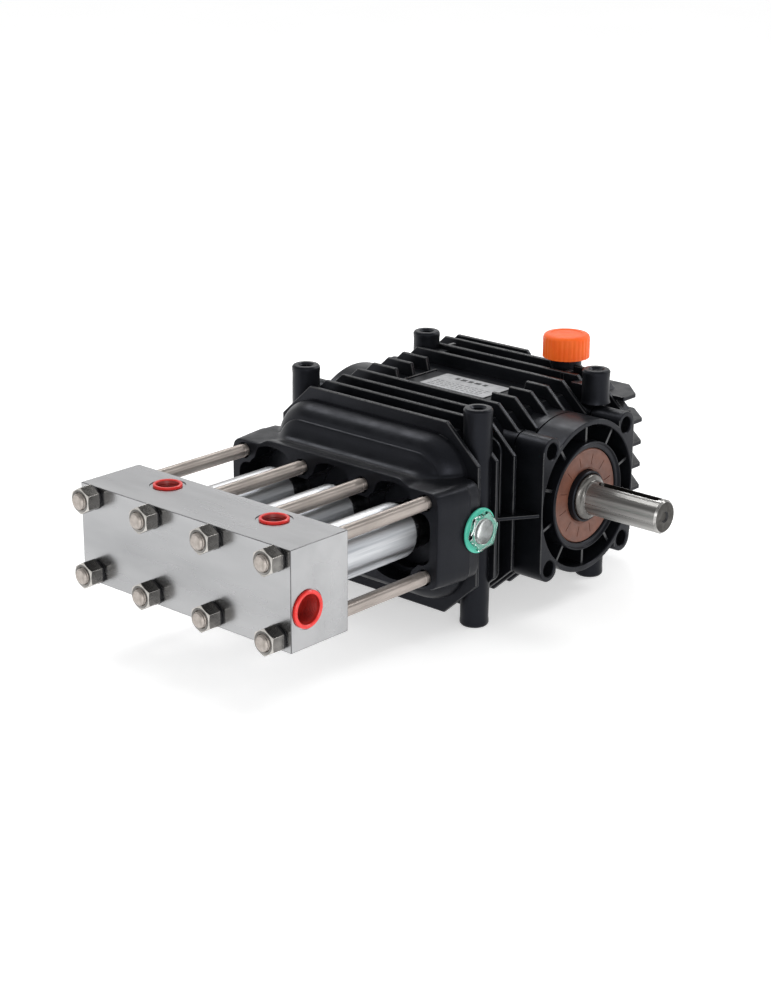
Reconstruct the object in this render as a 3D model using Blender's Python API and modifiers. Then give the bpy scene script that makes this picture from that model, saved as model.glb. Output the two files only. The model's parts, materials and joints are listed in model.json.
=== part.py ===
"""Three-cylinder plunger pump: finned crankcase, slider-crank drive and bolted steel manifold.

Pump dimensions are in millimetres.  In pump coordinates x runs along the crankshaft towards
its drive end, y runs from the manifold's front face to the rear cover, and z is height above
the crankshaft.  place() turns them into metres with the origin under the middle of the pump.
"""

import math

import bmesh
import bpy
from mathutils import Matrix, Vector

MM = 0.001
GAP = 0.3                      # between pieces that touch

# Cylinders and manifold
CYLINDER_PITCH = 82.7
CYLINDERS = {"left": -CYLINDER_PITCH, "middle": 0.0, "right": CYLINDER_PITCH}
MANIFOLD_WIDTH = 284.4
MANIFOLD_DEPTH = 75.4
MANIFOLD_HALF_HEIGHT = 50.0
STUD_X = [-1.5 * CYLINDER_PITCH, -0.5 * CYLINDER_PITCH, 0.5 * CYLINDER_PITCH, 1.5 * CYLINDER_PITCH]
STUD_RISE = 38.5
STUD_THREAD_RADIUS = 8.0
STUD_SHANK_RADIUS = 7.0
STUD_TIP_Y = -21.2
STUD_ROOT_Y = 224.0
NUT_ACROSS_FLATS = 24.0
NUT_FACE_Y = -17.6
WASHER_RADIUS = 14.5
WASHER_THICKNESS = 3.0
OUTLET_X = 72.5
OUTLET_Y = 50.1
SPOT_DEPTH = 0.8
INLET_Y = 21.3
INLET_Z = -12.0
INLET_PORT_RADIUS = 15.5
INLET_SPOT_RADIUS = 19.8
CHAMBER_RADIUS = 15.5
CHAMBER_FLOOR_Y = 44.0
GALLERY_RADIUS = 6.5
GALLERY_Z = 23.0
SLEEVE_RADIUS = 28.5
SLEEVE_BORE = 22.0
SLEEVE_NECK_RADIUS = 23.6
SLEEVE_SHOULDER_Y = 206.0

# Crankcase
FLANGE_Y = 203.9
FLANGE_HALF_HEIGHT = 50.0
CROWN_RADIUS = 57.0
NECK_FLOOR_Y = 236.0
CROSSHEAD_BORE_Y = 246.0
CHAMBER_FRONT_Y = 352.0
REAR_FACE_Y = 508.0
REAR_BODY_Y = 545.0
REAR_END_Y = 568.5
BODY_TOP = 86.0
BODY_SIDE = 122.0
SEAT_STEP = 0.6                # how far the side covers' seats stand out of the body
BODY_CORNER = (91.0, 57.6)     # where the body's sloping corner meets its top and its side
CHAMBER_HALF = (100.0, 66.0)
FIN_TOP = 101.0
FIN_SIDE = 138.6
FIN_SLOPE = 0.916              # fall of the fins' sloping corners for each unit outwards
REAR_FIN_Y = 521.0
FIN_THICKNESS = 4.6
FIN_PITCH = 28.0
FIRST_FIN_Y = 269.0
FIN_COUNT = 9
POST_X = 117.4
POST_Y = (290.8, 485.2)
POST_RADIUS = 14.9
POST_HALF_HEIGHT = 114.5
POST_HOLE_RADIUS = 6.6
POST_HOLE_DEPTH = 26.0
FLANK_WEB = [(110.0, 300.0), (132.0, 303.0), (158.0, 341.4), (110.0, 341.4)]
FLANK_WEB_Z = -2.5
REAR_POST_FOOT = 79.0          # the rear posts stop above the side cover's screw tubes
LABEL_X = (-45.0, 43.0)
LABEL_Y = (389.0, 437.0)
LABEL_PAD_TOP = 87.6
SIGHT_Y = 259.0
SIGHT_Z = 2.0
SIGHT_FACE_X = 147.0
DRAIN_Y = 451.0
CAP_X = 47.5
CAP_Y = 525.0
CAP_BASE_Z = 104.0
CAP_RADIUS = 25.4
CAP_HEIGHT = 29.0

# Side covers
COVER_FACE_X = 160.8
BLIND_FACE_X = 165.0
COVER_RADIUS = 81.0
COVER_HALF_DEPTH = 77.2
COVER_BOSS = 62.7
COVER_BOSS_RADIUS = 14.0
COVER_SCREW_RADIUS = 8.7
COVER_RIM_RADIUS = 75.5
COVER_HUB_RADIUS = 57.5
COVER_POCKET_FLOOR = 132.0
COVER_SPIGOT_RADIUS = 67.4
COVER_RIBS = 10
SEAL_RADIUS = 50.0
SEAL_HOLE_RADIUS = 27.5

# Drive
CRANK_Y = 419.2
THROW = 15.0
ROD_LENGTH = 105.0
CRANK_ANGLES = {"left": 90.0, "middle": 210.0, "right": 330.0}
PIN_RADIUS = 18.0
WEB_RADIUS = 36.0
JOURNAL_RADIUS = 25.0
COLLAR_RADIUS = 24.4
SHAFT_RADIUS = 17.5
SHAFT_END_X = 256.5
BEARING_RADIUS = 45.0
BEARING_X = (124.0, 144.0)
CROSSHEAD_RADIUS = 31.9
CROSSHEAD_BORE = 28.5
PLUNGER_RADIUS = 14.0
PLUNGER_LENGTH = 193.0
WRIST_PIN_RADIUS = 7.0

# The row's origin lies under the middle of the pump's outer box
PUMP_X = (BLIND_FACE_X - SHAFT_END_X) / 2
PUMP_Y = -(REAR_END_Y + STUD_TIP_Y) / 2
PUMP_Z = POST_HALF_HEIGHT

BLACK_PAINT = ((0.022, 0.023, 0.025, 1.0), 0.45, 0.3)
STAINLESS = ((0.62, 0.62, 0.61, 1.0), 0.32, 1.0)
ROD_STEEL = ((0.46, 0.42, 0.38, 1.0), 0.42, 1.0)
NUT_STEEL = ((0.55, 0.54, 0.52, 1.0), 0.28, 1.0)
CHROME = ((0.78, 0.79, 0.80, 1.0), 0.10, 1.0)
FORGED_STEEL = ((0.36, 0.36, 0.37, 1.0), 0.45, 1.0)
GROUND_STEEL = ((0.66, 0.66, 0.66, 1.0), 0.18, 1.0)
CERAMIC = ((0.85, 0.84, 0.80, 1.0), 0.25, 0.0)
SEAL_BROWN = ((0.24, 0.09, 0.05, 1.0), 0.55, 0.0)
RED_PLASTIC = ((0.75, 0.05, 0.04, 1.0), 0.40, 0.0)
ORANGE_PLASTIC = ((0.95, 0.20, 0.03, 1.0), 0.40, 0.0)
CLEAR_PLASTIC = ((0.85, 0.90, 0.90, 1.0), 0.08, 0.0)
GREEN_RUBBER = ((0.10, 0.55, 0.42, 1.0), 0.50, 0.0)
GASKET_GREY = ((0.16, 0.16, 0.15, 1.0), 0.80, 0.0)
LABEL_SILVER = ((0.60, 0.60, 0.60, 1.0), 0.35, 0.8)
PACKING_FABRIC = ((0.10, 0.09, 0.08, 1.0), 0.70, 0.0)


# ---------------------------------------------------------------- scene and helpers

def place(x, y, z):
    """The point in metres, in the row's frame, of a point in pump coordinates."""
    return Vector((x + PUMP_X, y + PUMP_Y, z + PUMP_Z)) * MM


def start_scene():
    for old in list(bpy.data.objects):
        bpy.data.objects.remove(old, do_unlink=True)
    made = []
    for name in ("plunger_pump", "cutters"):
        collection = bpy.data.collections.new(name)
        bpy.context.scene.collection.children.link(collection)
        made.append(collection)
    return made


PARTS, TOOLS = start_scene()


def new_object(name, data):
    obj = bpy.data.objects.new(name, data)
    TOOLS.objects.link(obj)
    obj.hide_render = True
    obj.display_type = "WIRE"
    return obj


def solid(name, bm):
    bmesh.ops.recalc_face_normals(bm, faces=bm.faces)
    mesh = bpy.data.meshes.new(name)
    bm.to_mesh(mesh)
    bm.free()
    return new_object(name, mesh)


def add_cylinder(bm, start, end, radius, segments=20):
    start, end = place(*start), place(*end)
    axis = end - start
    turn = axis.to_track_quat("Z", "Y").to_matrix().to_4x4()
    bmesh.ops.create_cone(bm, cap_ends=True, segments=segments, radius1=radius * MM,
                          radius2=radius * MM, depth=axis.length,
                          matrix=Matrix.Translation((start + end) / 2) @ turn)


def add_block(bm, low, high):
    low, high = place(*low), place(*high)
    size = Matrix.Diagonal((*(high - low), 1.0))
    bmesh.ops.create_cube(bm, size=1.0, matrix=Matrix.Translation((low + high) / 2) @ size)


def cylinder(name, start, end, radius, segments=20):
    bm = bmesh.new()
    add_cylinder(bm, start, end, radius, segments)
    return solid(name, bm)


def block(name, low, high):
    bm = bmesh.new()
    add_block(bm, low, high)
    return solid(name, bm)


def mesh_of(obj):
    """The object's evaluated mesh, with coincident points welded, in its own space."""
    depsgraph = bpy.context.evaluated_depsgraph_get()
    depsgraph.update()
    mesh = bpy.data.meshes.new_from_object(obj.evaluated_get(depsgraph), depsgraph=depsgraph)
    bm = bmesh.new()
    bm.from_mesh(mesh)
    bmesh.ops.remove_doubles(bm, verts=bm.verts, dist=0.00001)
    bmesh.ops.recalc_face_normals(bm, faces=bm.faces)
    bm.to_mesh(mesh)
    bm.free()
    return mesh


# A flat outline lies in a plane across one axis: its two coordinates are the other two axes,
# in x, y, z order, except across y, where they are x and z.
PLANE_AXES = {
    "x": Matrix(((0, 0, 1), (1, 0, 0), (0, 1, 0))),
    "y": Matrix(((1, 0, 0), (0, 0, -1), (0, 1, 0))),
    "z": Matrix(((1, 0, 0), (0, 1, 0), (0, 0, 1))),
}


def plate(name, outline, across, low, high):
    """A flat outline given thickness along the axis `across`, from low to high."""
    curve = bpy.data.curves.new(name, "CURVE")
    curve.dimensions = "2D"
    curve.fill_mode = "BOTH"
    curve.extrude = (high - low) / 2 * MM
    spline = curve.splines.new("POLY")
    spline.points.add(len(outline) - 1)
    for point, (u, v) in zip(spline.points, outline):
        point.co = (u * MM, v * MM, 0.0, 1.0)
    spline.use_cyclic_u = True
    drawn = bpy.data.objects.new(name, curve)
    TOOLS.objects.link(drawn)
    middle = (low + high) / 2
    centre = {"x": (middle, 0, 0), "y": (0, middle, 0), "z": (0, 0, middle)}[across]
    drawn.matrix_world = Matrix.Translation(place(*centre)) @ PLANE_AXES[across].to_4x4()
    mesh = mesh_of(drawn)
    mesh.transform(drawn.matrix_world)
    bpy.data.objects.remove(drawn, do_unlink=True)
    return new_object(name, mesh)


AXIS_TURNS = {
    "x": Matrix.Rotation(math.pi / 2, 4, "Y"),
    "y": Matrix.Rotation(-math.pi / 2, 4, "X"),
    "z": Matrix.Identity(4),
}


def turned(name, profile, centre, along, segments=20, ring=False):
    """A profile of (radius, place along the axis) turned round the axis through centre.

    The profile starts at the axis's far end and comes back down its outer side.
    """
    mesh = bpy.data.meshes.new(name)
    points = [(radius * MM, 0.0, height * MM) for radius, height in profile]
    edges = [(i, i + 1) for i in range(len(points) - 1)]
    if ring:
        edges.append((len(points) - 1, 0))
    mesh.from_pydata(points, edges, [])
    obj = new_object(name, mesh)
    obj.matrix_world = Matrix.Translation(place(*centre)) @ AXIS_TURNS[along]
    screw = obj.modifiers.new("turn", "SCREW")
    screw.axis = "Z"
    screw.steps = segments
    screw.render_steps = segments
    screw.use_merge_vertices = True
    screw.merge_threshold = 0.00001
    return obj


def loft(name, sections):
    """A skin through rings of points, one ring to a section, closed at both ends."""
    bm = bmesh.new()
    rings = [[bm.verts.new(place(*point)) for point in section] for section in sections]
    count = len(rings[0])
    for ring, following in zip(rings, rings[1:]):
        for i in range(count):
            j = (i + 1) % count
            bm.faces.new((ring[i], ring[j], following[j], following[i]))
    bm.faces.new(rings[0])
    bm.faces.new(rings[-1])
    return solid(name, bm)


def combine(target, operation, tools):
    for tool in tools:
        modifier = target.modifiers.new(operation.lower(), "BOOLEAN")
        modifier.operation = operation
        modifier.solver = "EXACT"
        modifier.object = tool


def join(target, *tools):
    combine(target, "UNION", tools)


def cut(target, *tools):
    combine(target, "DIFFERENCE", tools)


def arc(centre, radius, start, end, steps):
    """Points on an arc, angles in degrees."""
    points = []
    for i in range(steps + 1):
        angle = math.radians(start + (end - start) * i / steps)
        points.append((centre[0] + radius * math.cos(angle), centre[1] + radius * math.sin(angle)))
    return points


def rounded_rectangle(half_width, half_height, radius, steps=3):
    corners = ((1, 1, 0), (-1, 1, 90), (-1, -1, 180), (1, -1, 270))
    points = []
    for side, level, start in corners:
        centre = (side * (half_width - radius), level * (half_height - radius))
        points += arc(centre, radius, start, start + 90, steps)
    return points


def octagon(top, side, corner):
    """A box outline with sloping corners: corner holds the top's and the side's half length."""
    x, z = corner
    return [(side, -z), (side, z), (x, top), (-x, top), (-side, z), (-side, -z), (-x, -top), (x, -top)]


def finish(obj, name, look, origin=None):
    """Name the piece, give it its material and put it among the parts."""
    colour, roughness, metallic = look
    obj.name = name + "_draft"
    material = bpy.data.materials.new(name)
    material.use_nodes = True
    shader = material.node_tree.nodes["Principled BSDF"]
    shader.inputs["Base Color"].default_value = colour
    shader.inputs["Roughness"].default_value = roughness
    shader.inputs["Metallic"].default_value = metallic
    mesh = mesh_of(obj)
    mesh.transform(obj.matrix_world)
    home = Vector((0, 0, 0)) if origin is None else place(*origin)
    mesh.transform(Matrix.Translation(-home))
    mesh.materials.clear()
    mesh.materials.append(material)
    mesh.polygons.foreach_set("material_index", [0] * len(mesh.polygons))
    mesh.shade_smooth()
    mesh.set_sharp_from_angle(angle=math.radians(30))
    piece = bpy.data.objects.new(name, mesh)
    piece.location = home
    PARTS.objects.link(piece)
    return piece


def moved(piece, name, dx=0.0, dy=0.0, dz=0.0):
    """Another piece with the same mesh."""
    twin = bpy.data.objects.new(name, piece.data)
    twin.location = piece.location + Vector((dx, dy, dz)) * MM
    PARTS.objects.link(twin)
    return twin


# ---------------------------------------------------------------- crankcase

def nose_section(y, half_width, half_height, radius):
    return [(x, y, z) for x, z in rounded_rectangle(half_width, half_height, radius)]


def crown_outline():
    """The flange's edge: straight over the studs, arched over and under each cylinder."""
    half_angle = math.degrees(math.acos(FLANGE_HALF_HEIGHT / CROWN_RADIUS))
    points = []
    for level, order in ((1, (1, 0, -1)), (-1, (-1, 0, 1))):
        middle = 90.0 * level
        for step in order:
            points += arc((step * CYLINDER_PITCH, 0), CROWN_RADIUS, middle - half_angle,
                          middle + half_angle, 4)
    return points


def nose():
    """The hollow front of the crankcase: a low flange box under a rolled shoulder."""
    box = loft("nose_box", [
        nose_section(FLANGE_Y, 141.0, FLANGE_HALF_HEIGHT, 12.0),
        nose_section(225.0, 144.5, 50.5, 13.0),
        nose_section(246.0, 147.0, 51.0, 14.0),
        nose_section(262.5, 147.0, 51.0, 14.0),
        nose_section(266.0, 143.0, 49.0, 14.0),
    ])
    shoulder = loft("nose_shoulder", [
        nose_section(216.0, 101.0, 44.0, 14.0),
        nose_section(226.0, 103.5, 51.5, 17.0),
        nose_section(233.0, 106.0, 56.5, 20.0),
        nose_section(243.0, 111.0, 72.0, 32.0),
        nose_section(250.0, 118.0, 82.0, 39.0),
        nose_section(259.0, 124.0, 87.0, 44.0),
        nose_section(270.0, 126.0, 88.0, 45.0),
    ])
    crowns = plate("nose_crowns", crown_outline(), "y", FLANGE_Y + GAP, 229.0)
    join(box, shoulder, crowns)
    return box


def nose_hollow():
    """The open space round the sleeves, with a window over and under each of them."""
    hollow = plate("nose_sides", rounded_rectangle(131.0, 27.0, 12.0, 2), "y", 190.0, NECK_FLOOR_Y - 1.0)
    for x in CYLINDERS.values():
        join(hollow, cylinder("nose_well", (x, 189.0, 0), (x, NECK_FLOOR_Y, 0), 43.0))
        outline = [(x + u, v) for u, v in rounded_rectangle(25.0, 53.0, 14.0, 3)]
        join(hollow, plate("window", outline, "y", 188.0, 224.0))
    return hollow


def stud_positions():
    return [(x, z) for z in (STUD_RISE, -STUD_RISE) for x in STUD_X]


def fin_outline(y):
    """The fins' corners drift towards the blind side from the front fin to the rear one."""
    back = y - FIRST_FIN_Y
    drive_x = 97.0 - 0.04 * back
    blind_x = 89.5 + 0.118 * back
    blind_side = min(FIN_SIDE, 129.0 + 0.12 * back)
    drive_z = FIN_TOP - FIN_SLOPE * (FIN_SIDE - drive_x)
    blind_z = FIN_TOP - FIN_SLOPE * (blind_side - blind_x)
    return [(FIN_SIDE, -drive_z), (FIN_SIDE, drive_z), (drive_x, FIN_TOP), (-blind_x, FIN_TOP),
            (-blind_side, blind_z), (-blind_side, -blind_z), (-blind_x, -FIN_TOP), (drive_x, -FIN_TOP)]


def fins():
    rings = bmesh.new()
    for index in range(FIN_COUNT):
        y = FIRST_FIN_Y + FIN_PITCH * index
        outline = fin_outline(y)
        verts = [rings.verts.new(place(x, y - FIN_THICKNESS / 2, z)) for x, z in outline]
        face = rings.faces.new(verts)
        grown = bmesh.ops.extrude_face_region(rings, geom=[face])
        new_verts = [part for part in grown["geom"] if isinstance(part, bmesh.types.BMVert)]
        bmesh.ops.translate(rings, verts=new_verts, vec=(0, FIN_THICKNESS * MM, 0))
    return solid("fins", rings)


def fin_trimmers():
    """What is cut from the fins: the sides beside the covers, and the label's recess."""
    trims = bmesh.new()
    for side in (-1, 1):
        near, far = sorted((side * BODY_SIDE, side * 145.0))
        add_block(trims, (near, 339.0, -110.0), (far, 499.5, 110.0))
    add_block(trims, (-74.0, 376.0, BODY_TOP), (60.0, 441.0, 110.0))
    return solid("fin_trims", trims)


def cover_outline(inset=0.0):
    """A side cover seen along x: a round rim, four screw bosses and two flat sides."""
    reach = COVER_HALF_DEPTH - inset
    round_radius = COVER_RADIUS - inset
    boss_radius = COVER_BOSS_RADIUS - inset
    turn = math.degrees(math.acos(50.0 / round_radius))
    top = arc((0, 0), round_radius, turn, 180 - turn, 8)
    points = []
    for side, level in ((1, 1), (-1, -1)):
        boss = (side * COVER_BOSS, level * COVER_BOSS)
        other = (-side * COVER_BOSS, level * COVER_BOSS)
        start = 0 if level > 0 else 180
        points.append((side * reach, level * (COVER_BOSS - 4.0)))
        points += arc(boss, boss_radius, start + 8, start + 150, 4)
        points += [(side * u, level * v) for u, v in top]
        points += arc(other, boss_radius, start + 30, start + 172, 4)
        points.append((-side * reach, level * (COVER_BOSS - 4.0)))
    return [(CRANK_Y + u, v) for u, v in points]


def posts():
    pillars = bmesh.new()
    for x in (-POST_X, POST_X):
        front, rear = POST_Y
        add_cylinder(pillars, (x, front, -POST_HALF_HEIGHT), (x, front, POST_HALF_HEIGHT),
                     POST_RADIUS, segments=14)
        for level in (-1, 1):
            add_cylinder(pillars, (x, rear, level * REAR_POST_FOOT),
                         (x, rear, level * POST_HALF_HEIGHT), POST_RADIUS, segments=14)
    return solid("posts", pillars)


def rear_post_roots():
    """Webs that carry the rear posts on the body, clear of the side covers."""
    webs = bmesh.new()
    for x in (-1, 1):
        for level in (-1, 1):
            low_x, high_x = sorted((x * 88.0, x * 117.0))
            low_z, high_z = sorted((level * 60.0, level * 96.0))
            add_block(webs, (low_x, POST_Y[1] - 6.0, low_z), (high_x, POST_Y[1] + 6.0, high_z))
    return solid("post_roots", webs)


def post_holes():
    holes = bmesh.new()
    for x in (-POST_X, POST_X):
        for y in POST_Y:
            for level in (-1, 1):
                add_cylinder(holes, (x, y, level * (POST_HALF_HEIGHT + 1)),
                             (x, y, level * (POST_HALF_HEIGHT - POST_HOLE_DEPTH)),
                             POST_HOLE_RADIUS, segments=8)
    return solid("post_holes", holes)


def crankcase():
    outline = octagon(BODY_TOP, BODY_SIDE - SEAT_STEP, BODY_CORNER)
    body = plate("crankcase_body", outline, "y", 262.0, REAR_FACE_Y)
    ribs = fins()
    cut(ribs, fin_trimmers())
    join(body, nose(), ribs)
    for side in (-1, 1):
        low, high = sorted((side * 80.0, side * BODY_SIDE))
        join(body, plate("cover_seat", cover_outline(), "x", low, high))
    join(body, posts(), rear_post_roots())
    for side in (-1, 1):
        outline = [(side * u, y) for u, y in FLANK_WEB]
        join(body, plate("flank_web", outline, "z", FLANK_WEB_Z - 1.5, FLANK_WEB_Z + 1.5))
    join(body, block("label_pad", (-70.0, 383.6, BODY_TOP - 1), (57.0, 437.5, LABEL_PAD_TOP)))
    webs = bmesh.new()
    for x in (-95.0, 69.0):
        add_block(webs, (x - 2.5, 490.0, BODY_TOP - 1), (x + 2.5, REAR_FACE_Y - 1, FIN_TOP - 1))
    join(body, solid("rear_webs", webs))

    cut(body, nose_hollow())
    bores = bmesh.new()
    for x in CYLINDERS.values():
        add_cylinder(bores, (x, CROSSHEAD_BORE_Y, 0), (x, CHAMBER_FRONT_Y + 4, 0),
                     CROSSHEAD_RADIUS + 0.5)
    cut(body, solid("crosshead_bores", bores))
    seats = bmesh.new()
    for x in CYLINDERS.values():
        add_cylinder(seats, (x, 230.0, 0), (x, CROSSHEAD_BORE_Y + 4, 0), SLEEVE_NECK_RADIUS + 0.6)
    cut(body, solid("sleeve_seats", seats))
    cut(body, block("crank_chamber", (-CHAMBER_HALF[0], CHAMBER_FRONT_Y, -CHAMBER_HALF[1]),
                    (CHAMBER_HALF[0], REAR_FACE_Y + 5, CHAMBER_HALF[1])))
    mouths = bmesh.new()
    for side in (-1, 1):
        add_cylinder(mouths, (side * 90.0, CRANK_Y, 0), (side * 130.0, CRANK_Y, 0),
                     COVER_SPIGOT_RADIUS + 0.8, segments=24)
    cut(body, solid("cover_mouths", mouths))
    stud_holes = bmesh.new()
    for x, z in stud_positions():
        add_cylinder(stud_holes, (x, 195.0, z), (x, STUD_ROOT_Y + 1, z), STUD_SHANK_RADIUS + 0.4,
                     segments=12)
    cut(body, solid("stud_holes", stud_holes), post_holes())
    cut(body, cylinder("sight_hole", (120.0, SIGHT_Y, SIGHT_Z), (150.0, SIGHT_Y, SIGHT_Z), 13.2,
                       segments=16))
    cut(body, cylinder("drain_hole", (0, DRAIN_Y, -60.0), (0, DRAIN_Y, -90.0), 8.0, segments=8))
    return finish(body, "crankcase", BLACK_PAINT)


# ---------------------------------------------------------------- covers

def rear_cover():
    outline = octagon(BODY_TOP, BODY_SIDE, BODY_CORNER)
    base_y = REAR_FACE_Y + 0.5 + 2 * GAP
    cover = plate("rear_cover_body", outline, "y", base_y, REAR_BODY_Y)
    half = FIN_THICKNESS / 2
    join(cover, plate("rear_fin", fin_outline(REAR_FIN_Y), "y", REAR_FIN_Y - half, REAR_FIN_Y + half))
    rib_outline = [(-138.0, REAR_FIN_Y), (138.0, REAR_FIN_Y), (138.0, 543.5), (110.0, REAR_END_Y),
                   (-110.0, REAR_END_Y), (-138.0, 543.5)]
    for level in range(-2, 3):
        z = level * 25.0
        join(cover, plate("rear_rib", rib_outline, "z", z - 2.5, z + 2.5))
    short_outline = [(x * 0.93, y) for x, y in rib_outline]
    for z in (-75.0, 75.0):
        join(cover, plate("rear_rib", short_outline, "z", z - 2.5, z + 2.5))
    join(cover, block("top_rib", (-116.0, 531.0, 60.0), (-8.0, 535.5, FIN_TOP + 1)))
    join(cover, cylinder("filler_boss", (CAP_X, CAP_Y + 2, 70.0), (CAP_X, CAP_Y + 2, CAP_BASE_Z - 7),
                         17.0, segments=16))
    cut(cover, block("rear_hollow", (-CHAMBER_HALF[0], 500.0, -CHAMBER_HALF[1]),
                     (CHAMBER_HALF[0], 531.0, CHAMBER_HALF[1])))
    cut(cover, cylinder("filler_hole", (CAP_X, CAP_Y, 50.0), (CAP_X, CAP_Y, 120.0), 12.5, segments=24))
    cut(cover, cylinder("cap_seat", (CAP_X, CAP_Y, CAP_BASE_Z - 7), (CAP_X, CAP_Y, 120.0), 18.0))
    return finish(cover, "rear_cover", BLACK_PAINT)


def rear_gasket():
    low, high = REAR_FACE_Y + GAP, REAR_FACE_Y + GAP + 0.5
    sheet = plate("rear_gasket", octagon(BODY_TOP - 1, BODY_SIDE - 1, BODY_CORNER), "y", low, high)
    cut(sheet, block("gasket_window", (-102.0, low - 5, -68.0), (102.0, high + 5, 68.0)))
    return finish(sheet, "rear_cover_gasket", GASKET_GREY)


def side_cover(side, name):
    """side is 1 at the drive end, where the shaft comes out, and -1 at the blind end."""
    def along(x):
        return side * x

    def span(low, high):
        return sorted((along(low), along(high)))

    seat_x = BODY_SIDE + 0.5 + 2 * GAP
    face_x = COVER_FACE_X if side > 0 else BLIND_FACE_X
    cover = plate(name + "_body", cover_outline(), "x", *span(seat_x, face_x))
    spigot = cylinder("spigot", (along(116.0), CRANK_Y, 0), (along(130.0), CRANK_Y, 0),
                      COVER_SPIGOT_RADIUS, segments=24)
    join(cover, spigot)
    if side > 0:
        open_x = COVER_FACE_X + 5
        profile = [(COVER_RIM_RADIUS, open_x), (COVER_RIM_RADIUS, COVER_POCKET_FLOOR),
                   (COVER_HUB_RADIUS, COVER_POCKET_FLOOR), (COVER_HUB_RADIUS, open_x)]
        cut(cover, turned("pocket", profile, (0, CRANK_Y, 0), "x", 30, ring=True))
    for index in range(COVER_RIBS if side > 0 else 0):
        angle = math.radians(18.0 + 360.0 / COVER_RIBS * index)
        rib = block("rib", (0, 0, 0), (1, 1, 1))
        rib.data.transform(Matrix.Translation(-place(0.5, 0.5, 0.5)))
        low, high = span(COVER_POCKET_FLOOR - 2, COVER_FACE_X - 5)
        middle = (COVER_HUB_RADIUS + COVER_RIM_RADIUS) / 2
        length = COVER_RIM_RADIUS - COVER_HUB_RADIUS + 4
        rib.data.transform(Matrix.Diagonal((high - low, length, 3.0, 1.0)))
        rib.data.transform(Matrix.Translation(Vector(((low + high) / 2, middle, 0)) * MM))
        rib.data.transform(Matrix.Rotation(angle, 4, "X"))
        rib.data.transform(Matrix.Translation(place(0, CRANK_Y, 0)))
        join(cover, rib)
    screws = bmesh.new()
    for u in (-COVER_BOSS, COVER_BOSS):
        for v in (-COVER_BOSS, COVER_BOSS):
            add_cylinder(screws, (along(136.0), CRANK_Y + u, v), (along(175.0), CRANK_Y + u, v),
                         COVER_SCREW_RADIUS, segments=12)
    cut(cover, solid("screw_wells", screws))
    bearing_seat = cylinder("bearing_seat", (along(100.0), CRANK_Y, 0),
                            (along(BEARING_X[1] + GAP), CRANK_Y, 0), BEARING_RADIUS + 2 * GAP, segments=24)
    cut(cover, bearing_seat)
    if side > 0:
        cut(cover, cylinder("shaft_way", (140.0, CRANK_Y, 0), (150.0, CRANK_Y, 0), 36.0))
        cut(cover, cylinder("seal_seat", (147.0 - GAP, CRANK_Y, 0), (170.0, CRANK_Y, 0),
                            SEAL_RADIUS + 2 * GAP, segments=32))
        cut(cover, cylinder("hub_step", (158.8, CRANK_Y, 0), (170.0, CRANK_Y, 0),
                            COVER_HUB_RADIUS - 2.0, segments=32))
    else:
        cut(cover, cylinder("hub_step", (2.5 - BLIND_FACE_X, CRANK_Y, 0), (-175.0, CRANK_Y, 0),
                            COVER_HUB_RADIUS - 5.0, segments=32))
    return finish(cover, name, BLACK_PAINT)


def cover_gasket(side, name):
    low, high = sorted((side * (BODY_SIDE + GAP), side * (BODY_SIDE + GAP + 0.5)))
    profile = [(74.5, high), (74.5, low), (COVER_SPIGOT_RADIUS + 1, low), (COVER_SPIGOT_RADIUS + 1, high)]
    return finish(turned(name, profile, (0, CRANK_Y, 0), "x", 24, ring=True), name, GASKET_GREY)


def oil_seal():
    profile = [(SEAL_RADIUS, 157.0), (SEAL_RADIUS, 147.0), (SEAL_HOLE_RADIUS, 147.0),
               (SEAL_HOLE_RADIUS, 157.0)]
    return finish(turned("seal", profile, (0, CRANK_Y, 0), "x", 32, ring=True), "oil_seal", SEAL_BROWN)


# ---------------------------------------------------------------- drive

def throw_offset(name):
    angle = math.radians(CRANK_ANGLES[name])
    return THROW * math.cos(angle), THROW * math.sin(angle)


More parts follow.
